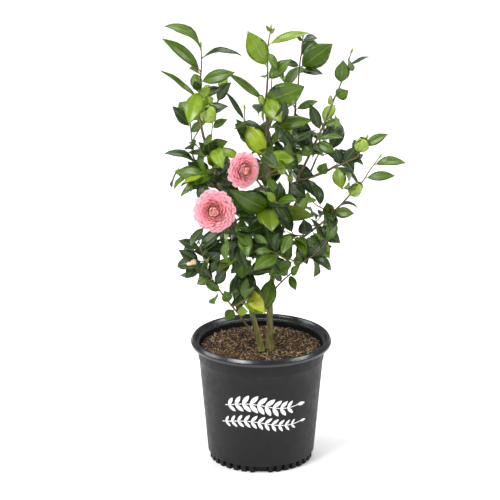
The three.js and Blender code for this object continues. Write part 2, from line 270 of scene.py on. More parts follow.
class Finish(Nodes):
    """A Principled material: fixed numbers go on the shader's sockets, and calls add patterns. A grain is
    given as its scale, its detail, and how far it is stretched along X, Y and Z."""

    def __init__(self, name, colour, roughness, **sockets):
        self.material = bpy.data.materials.new(name)
        self.material.use_nodes = True
        self.tree = self.material.node_tree
        self.base = colour
        self.sockets = self.tree.nodes["Principled BSDF"].inputs
        self.sockets["Base Color"].default_value = (*colour, 1)
        self.sockets["Roughness"].default_value = roughness
        for label, value in sockets.items():
            self.sockets[label.replace("_", " ")].default_value = value

    def own_map(self):
        return self.node("ShaderNodeUVMap", settings={"uv_map": "leaf_map"})

    def across_and_along(self):
        """Where a spot lies on its blade's own map: 0 to 1 across it, and 0 to 1 along it."""
        return self.node("ShaderNodeSeparateXYZ", slice(0, 2), Vector=self.own_map())

    def grain(self, scale, detail, stretch=(1, 1, 1), source=None, distortion=0.0):
        """A noise over Object coordinates, or over another source."""
        source = source or self.node("ShaderNodeTexCoord", "Object")
        place = self.node("ShaderNodeMapping", Vector=source, Scale=stretch)
        size = {"Scale": scale, "Detail": detail, "Distortion": distortion}
        return self.node("ShaderNodeTexNoise", Vector=place, **size)

    def ramp(self, value, *stops):
        """Colours, or greys as single numbers, at places from 0 to 1."""
        made = self.tree.nodes.new("ShaderNodeValToRGB")
        while len(made.color_ramp.elements) < len(stops):
            made.color_ramp.elements.new(0.5)
        for element, (at, colour) in zip(made.color_ramp.elements, stops):
            element.position = at
            element.color = (*colour, 1) if isinstance(colour, tuple) else (colour, colour, colour, 1)
        self.tree.links.new(value, made.inputs[0])
        return made.outputs[0]

    def coloured(self, value, *stops):
        self.tree.links.new(self.ramp(value, *stops), self.sockets["Base Color"])
        return self

    def mottled(self, grain, *shades):
        """The base colour, lighter and darker over a grain."""
        return self.coloured(self.grain(*grain), *((at, shaded(self.base, by)) for at, by in shades))

    def worn(self, grain, *stops):
        """A roughness that varies over a grain."""
        self.tree.links.new(self.ramp(self.grain(*grain), *stops), self.sockets["Roughness"])
        return self

    def raised(self, height, distance, strength):
        """Bumps of a depth in millimetres, over any there are. Their height is a grain or a node's output."""
        if isinstance(height, tuple):
            height = self.grain(*height)
        normal = self.sockets["Normal"]
        under = {"Normal": normal.links[0].from_socket} if normal.is_linked else {}
        bumps = self.node("ShaderNodeBump", Distance=distance * MM, Strength=strength, Height=height, **under)
        self.tree.links.new(bumps, normal)
        return self

    def veined(self, distance, strength):
        """Side veins that leave the rib at a slant."""
        across, along = self.across_and_along()
        from_rib = self.maths("ABSOLUTE", self.maths("SUBTRACT", across, 0.5))
        slant = self.maths("SUBTRACT", along, self.maths("MULTIPLY", from_rib, VEIN_SLANT))
        wave = self.maths("SINE", self.maths("MULTIPLY", slant, 2 * math.pi * VEINS))
        return self.raised(self.maths("POWER", self.maths("ABSOLUTE", wave), 0.4), distance, strength)


VEINS = 9
VEIN_SLANT = 0.42  # how far along the leaf a side vein runs, for each step across it


def leaf_finishes(name, colour, under=None):
    """The upper side, the rib and the paler matt underside of one tint of leaf."""
    upper = Finish(
        name + "_upper", colour, 0.34, Coat_Weight=0.08, Coat_Roughness=0.16, Specular_IOR_Level=0.34
    )
    upper.mottled((55, 3), (0.3, 0.78), (0.55, 1), (0.75, 1.22)).worn((160, 2), (0.3, 0.24), (0.7, 0.38))
    upper.veined(0.35, 0.5).raised((900, 2), 0.12, 0.35)
    rib = Finish(name + "_rib", mixed(colour, (0.34, 0.42, 0.1), 0.2), 0.42)
    rib.mottled((120, 2), (0.3, 0.85), (0.7, 1.1))
    back = Finish(name + "_under", under or mixed(colour, (0.24, 0.36, 0.12), 0.38), 0.55)
    back.mottled((60, 3), (0.3, 0.85), (0.7, 1.12)).veined(0.4, 0.6)
    return upper.material, rib.material, back.material


def bark_finish(name, dark, mid, light, grain):
    bark = Finish(name, mid, 0.75)
    streaks = bark.grain(grain, 5, (1, 1, 0.16), distortion=0.6)
    bark.coloured(streaks, (0.34, dark), (0.5, mid), (0.66, light))
    bark.worn((grain * 2, 3), (0.3, 0.6), (0.7, 0.88)).raised((grain * 2.4, 5, (1, 1, 0.2)), 0.5, 0.8)
    return bark.material


def pot_finish():
    plastic = Finish("black_nursery_plastic", (0.0075, 0.0075, 0.0078), 0.44, Specular_IOR_Level=0.25)
    plastic.mottled((16, 4), (0.3, 0.82), (0.7, 1.25)).worn((70, 4), (0.3, 0.42), (0.72, 0.58))
    return plastic.raised((1500, 2), 0.06, 0.5).material


def rim_finish():
    plastic = Finish("black_lip_plastic", (0.009, 0.0115, 0.015), 0.24, Specular_IOR_Level=0.5)
    plastic.mottled((22, 3), (0.3, 0.85), (0.7, 1.2)).worn((90, 4), (0.3, 0.2), (0.7, 0.3))
    return plastic.raised((700, 2), 0.04, 0.3).material


def chip_finish(name, colour):
    chip = Finish(name, colour, 0.86).mottled((420, 4, (1, 0.35, 1)), (0.3, 0.55), (0.55, 1), (0.75, 1.5))
    return chip.raised((900, 3), 0.4, 0.8).material


def petal_finish(name, heart, edge):
    """One ring of petals, darker towards its claw by its own map as painted shade where the petals overlap,
    with a paler rim.
    """
    petal = Finish(name, edge, 0.5, Subsurface_Weight=0.12, Subsurface_Scale=0.003, Sheen_Weight=0.15)
    rim = mixed(edge, (0.95, 0.66, 0.7), 0.5)
    # heart is the darker colour at the claw, painted shade where each petal lies under the next
    petal.coloured(petal.across_and_along()[1], (0.3, heart), (0.78, edge), (0.96, rim))
    return petal.raised((380, 3, (0.12, 0.02, 1), petal.own_map()), 0.2, 0.3).material


def bud_finish(name, colour):
    bud = Finish(name, colour, 0.42, Coat_Weight=0.1, Coat_Roughness=0.3)
    return bud.mottled((140, 3), (0.3, 0.8), (0.7, 1.2)).raised((600, 2), 0.1, 0.4).material


# ---------------------------------------------------------------- leaf, petal, scale and chip shapes


def collected(name, objects):
    """Shapes to instance, kept in a collection that isn't in the scene."""
    collection = bpy.data.collections.new(name)
    for shape in objects:
        collection.objects.link(shape)
    return collection


def shape_object(name, verts, faces, skin):
    mesh = plain_mesh(name, verts, (), faces, skin=("FACE", "INT", "value", skin))
    mesh.shade_smooth()
    return bpy.data.objects.new(name, mesh)


def blade_shape(name, rows, across, half_width, thickness, surface, skins=lambda t, c: 0):
    """A closed thin blade of unit length, in rows along it that end in one point. surface(t, c) is its upper
    side, and its underside lies thickness(t, c) below. skins(t, c) numbers the upper faces' skin."""
    verts = []
    faces = []
    skin = []
    places = []
    for t in rows[:-1]:
        for c in across:
            verts.append(surface(t, c * half_width(t)))
            places.append((0.5 + 0.5 * c, t))
        for c in across[-2:0:-1]:
            x, y, z = surface(t, c * half_width(t))
            verts.append((x, y, z - thickness(t, c)))
            places.append((0.5 + 0.5 * c, t))
    above = len(across) - 1  # of the faces round one row, the first so many are on the upper side
    ring = 2 * above
    verts.append(surface(rows[-1], 0))
    places.append((0.5, 1))
    tip = len(verts) - 1
    for row in range(len(rows) - 1):
        for side in range(ring):
            a, b = row * ring + side, row * ring + (side + 1) % ring
            if row == len(rows) - 2:
                faces.append((a, tip, b))
                skin.append(0 if side < above else 2)
            else:
                faces.append((a, a + ring, b + ring, b))
                skin.append(skins(rows[row], 0.5 * (across[side] + across[side + 1])) if side < above else 2)
    faces.append(tuple(range(ring)))
    skin.append(2)
    shape = shape_object(name, verts, faces, skin)
    layer = shape.data.uv_layers.new(name="leaf_map")
    for loop in shape.data.loops:
        layer.data[loop.index].uv = places[loop.vertex_index]
    return shape


STALK = 0.1  # of a leaf's length, before the blade begins
LEAF_WIDTHS = (0.34, 0.42, 0.48, 0.54)  # of a leaf's length
LEAF_ARCHES = (0.35, 0.85, 1.5)  # turned through from stalk to tip, in radians


def leaf_shape(name, width, arch, fold, twist, wave):
    """One camellia leaf of unit length along +X: a short stalk, and a folded, arching blade with a drawn-out
    point. arch and twist are turned through over its length, in radians."""
    rows = [0, 0.055, STALK, 0.16, 0.25, 0.36, 0.48, 0.6, 0.72, 0.83, 0.92, 1]
    swell = math.log(0.5) / math.log(0.47)  # sets the blade's widest place, 0.47 of the way along it

    def half_width(t):
        along = max(0.0, (t - STALK) / (1 - STALK))
        drawn_out = 1 - 0.32 * max(0.0, (along - 0.72) / 0.28)
        return max(0.013, width / 2 * max(0.0, math.sin(math.pi * along**swell)) ** 0.86 * drawn_out)

    def surface(t, y):
        bend = arch * t
        lift = fold * abs(y) - 0.9 * fold * y * y / max(width, 0.1) + wave * math.sin(11 * t) * abs(y)
        lift += 0.1 * math.sin(math.pi * min(1, t / STALK)) * STALK
        roll = twist * t
        across = y * math.cos(roll) - lift * math.sin(roll)
        above = y * math.sin(roll) + lift * math.cos(roll)
        x = math.sin(bend) / arch + above * math.sin(bend)
        return (x, across, (math.cos(bend) - 1) / arch + above * math.cos(bend))

    def thickness(t, c):
        return 0.02 if t <= STALK or abs(c) < 0.1 else 0.006

    def skins(t, c):
        return 1 if t < STALK or abs(c) < 0.01 else 0

    return blade_shape(name, rows, [-1, -0.55, -0.06, 0.06, 0.55, 1], half_width, thickness, surface, skins)


def leaf_shapes():
    """Twelve leaves: four widths, each flat, arching and strongly arching."""
    rng = random.Random(5)
    return collected("leaf_shapes", [
        leaf_shape(
            f"leaf_{i:02d}", LEAF_WIDTHS[i % 4], LEAF_ARCHES[i // 4], rng.uniform(0.18, 0.5),
            rng.uniform(-0.3, 0.3), rng.uniform(-0.12, 0.12),
        )
        for i in range(12)
    ])


def petal_shape(name, width, cup, roll_back, notch):
    """A broad petal of unit length along +X, cupped upwards and rolled back at its lip."""
    rows = [0, 0.14, 0.3, 0.48, 0.66, 0.82, 0.93, 0.985, 1]
    across = [-1, -0.72, -0.38, 0, 0.38, 0.72, 1]

    def half_width(t):
        return width / 2 * max(0.16, math.sin(math.pi * (0.09 + 0.86 * t**0.85)) ** 0.62)

    def surface(t, y):
        bend = cup * t - roll_back * max(0, t - 0.62) * 2.6
        x = t - 0.1 * cup * t * t - notch * math.exp(-((y / width) ** 2) * 60) * max(0, t - 0.9) * 4
        z = 0.5 * bend * t + 1.1 * cup * y * y / width - 0.2 * roll_back * (2 * y / width) ** 4 * t
        return (x, y, z)

    return blade_shape(name, rows, across, half_width, lambda t, c: 0.022, surface)


def petal_shapes():
    return collected("petal_shapes", [
        petal_shape("petal_0_heart", 0.8, 1.15, 0.0, 0.0),
        petal_shape("petal_1_inner", 0.9, 0.75, 0.15, 0.02),
        petal_shape("petal_2_middle", 0.98, 0.42, 0.3, 0.04),
        petal_shape("petal_3_outer", 1.02, 0.22, 0.4, 0.06),
    ])


def scale_shapes():
    """One bud scale: a deep spoon of unit length that hugs a bud."""
    rows = [0, 0.1, 0.25, 0.42, 0.6, 0.76, 0.9, 1]
    across = [-1, -0.6, -0.2, 0.2, 0.6, 1]

    def half_width(t):
        return 0.46 * max(0.2, math.sin(math.pi * (0.12 + 0.86 * t)) ** 0.7)

    def surface(t, y):
        angle = math.pi * t
        out = 0.5 * math.sin(angle) ** 0.8
        turn = y / max(0.12, out)
        return (0.5 - 0.5 * math.cos(angle), out * math.sin(turn), out * math.cos(turn))

    spoon = blade_shape("bud_scale", rows, across, half_width, lambda t, c: 0.03, surface)
    return collected("scale_shapes", [spoon])


CHIP_SHAPES = 9
CHIP_SIZES = ((1, 0.45, 0.22), (0.6, 0.5, 0.34), (1.6, 0.13, 0.1))  # chips, crumbs and slivers
CHIP_SKINS = (0, 1, 0, 0, 1, 1, 2, 0, 2)


def chip_shapes():
    """Bark chips, each a rough bar of eight sides and two ends."""
    rng = random.Random(11)
    shapes = []
    for i in range(CHIP_SHAPES):
        long, wide, thick = CHIP_SIZES[i // 3]
        verts = []
        for x in (-0.5, 0, 0.5):
            for y, z in ((-0.5, -0.3), (0.5, -0.45), (0.4, 0.5), (-0.35, 0.4)):
                end = 0.62 if x else 1
                verts.append((
                    long * (x + rng.uniform(-0.12, 0.12)),
                    wide * end * (y + rng.uniform(-0.15, 0.15)),
                    thick * end * (z + rng.uniform(-0.2, 0.2)),
                ))
        faces = [(3, 2, 1, 0), (8, 9, 10, 11)]
        for x in (0, 4):
            faces += [(x + s, x + (s + 1) % 4, x + 4 + (s + 1) % 4, x + 4 + s) for s in range(4)]
        shape = shape_object(f"chip_{i:02d}", verts, faces, [CHIP_SKINS[i]] * len(faces))
        shape.data.shade_flat()
        shapes.append(shape)
    return collected("chip_shapes", shapes)


# ---------------------------------------------------------------- stations: where each shape is set


class Stations(list):
    """Places, turns, sizes and shapes, which the stations tree sets out as one mesh."""

    def add(self, place, along, face, size, shape):
        """A shape with its length along one direction and its upper side towards another."""
        x = along.normalized()
        z = face - x * face.dot(x)
        if z.length < 1e-4:
            z = x.orthogonal()
        z.normalize()
        self.append((tuple(place), tuple(Matrix((x, z.cross(x), z)).transposed().to_euler()), size, shape))

    def mesh(self, name):
        places, turns, sizes, shapes = zip(*self)
        return plain_mesh(
            name, places,
            turn=("POINT", "FLOAT_VECTOR", "vector", np.ravel(turns)),
            size=("POINT", "FLOAT_VECTOR", "vector", np.ravel(sizes)),
            shape=("POINT", "INT", "value", shapes),
        )


TINTS = ("deep", "green", "bright", "fresh", "yellow")
LEAVES = {tint: Stations() for tint in TINTS}


def set_leaf(place, reach, face, tint, width, arch):
    """Sets a leaf from a place, its tip a reach away, of the shape nearest in width and arch."""
    w = min(range(4), key=lambda i: abs(LEAF_WIDTHS[i] - width))
    a = min(range(3), key=lambda i: abs(LEAF_ARCHES[i] - arch))
    bend = LEAF_ARCHES[a] / 2
    chord = reach.normalized()
    above = face - chord * face.dot(chord)
    if above.length < 1e-3:
        above = chord.orthogonal()
    above.normalize()
    length = reach.length * bend / math.sin(bend)
    out = chord * math.cos(bend) + above * math.sin(bend)
    LEAVES[tint].add(place, out, above, (length, length * width / LEAF_WIDTHS[w], length), 4 * a + w)


# ---------------------------------------------------------------- limbs and shoots


class Limb:
    """A tapering stem, bough or twig: points along its centre line with a radius at each."""

    def __init__(self, start, bearing, reach, rise, sway, radius, step=4 * MM, wander=0.0, seed=0, flare=0.0):
        out = Vector((math.cos(math.radians(bearing)), math.sin(math.radians(bearing)), 0))
        marks = [start + out * (part * reach + swing) + UP * part * rise
                 for part, swing in ((0, 0), (1 / 3, sway[0]), (2 / 3, sway[1]), (1, 0))]
        length = (marks[-1] - marks[0]).length + abs(sway[0]) + abs(sway[1])
        count = max(4, round(length / step))
        self.points = []
        self.radii = []
        for i in range(count + 1):
            part = i / count
            shake = Vector((
                noise.noise(Vector((seed * 7.1, part * length / 0.03, 0.3))),
                noise.noise(Vector((seed * 3.7, part * length / 0.03, 5.1))), 0,
            )) * wander * math.sin(math.pi * part) ** 0.5
            self.points.append(through(marks, part) + shake)
            self.radii.append(radius[0] + (radius[1] - radius[0]) * part + flare * math.exp(-part * 16))

    def at(self, part):
        spot = min(max(part, 0), 1) * (len(self.points) - 1)
        i = min(int(spot), len(self.points) - 2)
        return self.points[i].lerp(self.points[i + 1], spot - i)

    def along(self, part):
        return (self.at(min(1, part + 0.03)) - self.at(max(0, part - 0.03))).normalized()

    def at_height(self, height):
        """How far along it reaches a height."""
        heights = [point.z for point in self.points]
        return float(np.interp(height, heights, np.linspace(0, 1, len(heights))))


def through(marks, part):
    """A point on the smooth curve through four evenly spaced marks."""
    spot = part * 3
    i = min(int(spot), 2)
    t = spot - i
    before = marks[i - 1] if i else marks[0] * 2 - marks[1]
    after = marks[i + 2] if i < 2 else marks[3] * 2 - marks[2]
    a, b = marks[i], marks[i + 1]
    return 0.5 * (2 * a + (b - before) * t + (2 * before - 5 * a + 4 * b - after) * t * t
                  + (3 * a - 3 * b + after - before) * t**3)


# the whole crown's width and height, over the sizes listed for its limbs and leaves
SPREAD = 1.02
RISE = 1.028

# name: ((x, y), bearing, reach, rise, (sway, sway), (radius, radius), flare), in degrees and millimetres
STEMS = {
    "main_stem": ((17, -18), 42, 18, 186, (-6, -9), (6.9, 5), 3),
    "left_stem": ((1, -34), 170, 84, 345, (0, -11), (5.4, 3.8), 2.2),
}
# name: (from, at, bearing, reach, rise, (sway, sway), (radius, radius)), where at is a part of its length
BOUGHS = {
    "centre_leader": ("main_stem", 1, 150, 26, 300, (5, 1), (4.2, 2.6)),
    "right_centre_leader": ("main_stem", 1, 57, 65, 274, (18, 9), (3.7, 2.2)),
    "right_leader": ("right_centre_leader", 0.34, -22, 96, 222, (0, 3), (3, 1.8)),
    "right_side_bough": ("right_leader", 0.2, -30, 132, 70, (8, 3), (2.2, 1.5)),
    "right_low_bough": ("main_stem", 1, -15, 168, 160, (14, 10), (2.6, 1.5)),
    "right_foot_twig": ("main_stem", 0.56, -30, 71, 82, (-4, -4), (1.9, 1.2)),
    "left_leader": ("left_stem", 1, -159, 39, 134, (4, 6), (3.5, 2.2)),
    "left_side_bough": ("left_stem", 0.9, 153, 71, 94, (22, 20), (2.3, 1.5)),
    "left_foot_bough": ("left_stem", 0.055, -161, 93, 130, (0, 0), (2.4, 1.5)),
    "front_left_bough": ("left_stem", 0.66, -118, 78, 66, (7, 4), (2.4, 1.8)),
    "front_centre_bough": ("centre_leader", 0.4, -118, 70, 60, (7, 4), (2.4, 1.8)),
    "back_left_bough": ("left_stem", 0.6, 118, 86, 96, (10, 6), (2.8, 1.8)),
    "back_centre_bough": ("centre_leader", 0.33, 92, 92, 118, (12, 7), (2.8, 1.8)),
    "back_right_bough": ("right_centre_leader", 0.22, 48, 92, 104, (10, 6), (2.8, 1.8)),
}
# the leaders' own last season's shoots, and the twigs that carry a bud or a spray of their own
SHOOTS = {
    "left_leader_shoot": ("left_leader", 1, 35, 5, 126, (0, 2), (2.1, 1.1)),
    "left_leader_twig": ("left_leader", 0.42, 12, 8, 52, (3, 3), (1.4, 1)),
    "left_side_shoot": ("left_side_bough", 1, 140, 6, 60, (0, 0), (1.4, 1)),
    "left_tip_shoot": ("left_side_bough", 0.3, 172, 28, 24, (0, 0), (1.4, 1)),
    "centre_leader_shoot": ("centre_leader", 1, -10, 10, 142, (1, -3), (2.4, 1.1)),
    "centre_second_shoot": ("centre_leader", 0.82, -30, 10, 104, (2, 2), (1.8, 1)),
    "centre_left_twig": ("centre_leader", 0.55, 188, 48, 124, (10, 12), (1.7, 1.1)),
    "right_centre_shoot": ("right_centre_leader", 1, 15, 14, 140, (0, 0), (2, 1.1)),
    "right_leader_shoot": ("right_leader", 1, 8, 30, 84, (3, 3), (1.7, 1)),
    "right_bud_twig": ("right_side_bough", 1, 20, 18, 34, (0, 0), (1.4, 1.2)),
    "right_low_shoot": ("right_low_bough", 1, 15, 32, 44, (0, 0), (1.4, 1)),
    "right_foot_shoot": ("right_foot_twig", 1, -14, 28, 24, (0, 0), (1.2, 0.8)),
    "left_foot_shoot": ("left_foot_bough", 1, 180, 8, 16, (0, 0), (1.2, 0.9)),
    "left_low_twig": ("left_stem", 0.5, 197, 88, 16, (2, 2), (1.9, 1.2)),
}
LIMBS = {}


def listed_limb(start, bearing, reach, rise, sway, radius, **habit):
    sway, radius = ([size * MM for size in sizes] for sizes in (sway, radius))
    return Limb(start, bearing, reach * SPREAD * MM, rise * RISE * MM, sway, radius, step=3 * MM, **habit)


def limb_between(start, end, bow, radius, **habit):
    """A limb from one place to another, whose sway is given as two shares of its reach."""
    gap = end - start
    reach = gap.xy.length
    bearing = math.degrees(math.atan2(gap.y, gap.x))
    return Limb(start, bearing, reach, gap.z, [share * reach for share in bow], radius, **habit)


def grow_limbs():
    for seed, (name, ((x, y), *sizes, flare)) in enumerate(STEMS.items()):
        foot = Vector((x * MM, y * MM, SOIL))
        LIMBS[name] = listed_limb(foot, *sizes, wander=1.2 * MM, seed=seed, flare=flare * MM)
    for seed, (name, (parent, at, *sizes)) in enumerate({**BOUGHS, **SHOOTS}.items(), len(STEMS)):
        LIMBS[name] = listed_limb(LIMBS[parent].at(at), *sizes, wander=2.2 * MM, seed=seed)
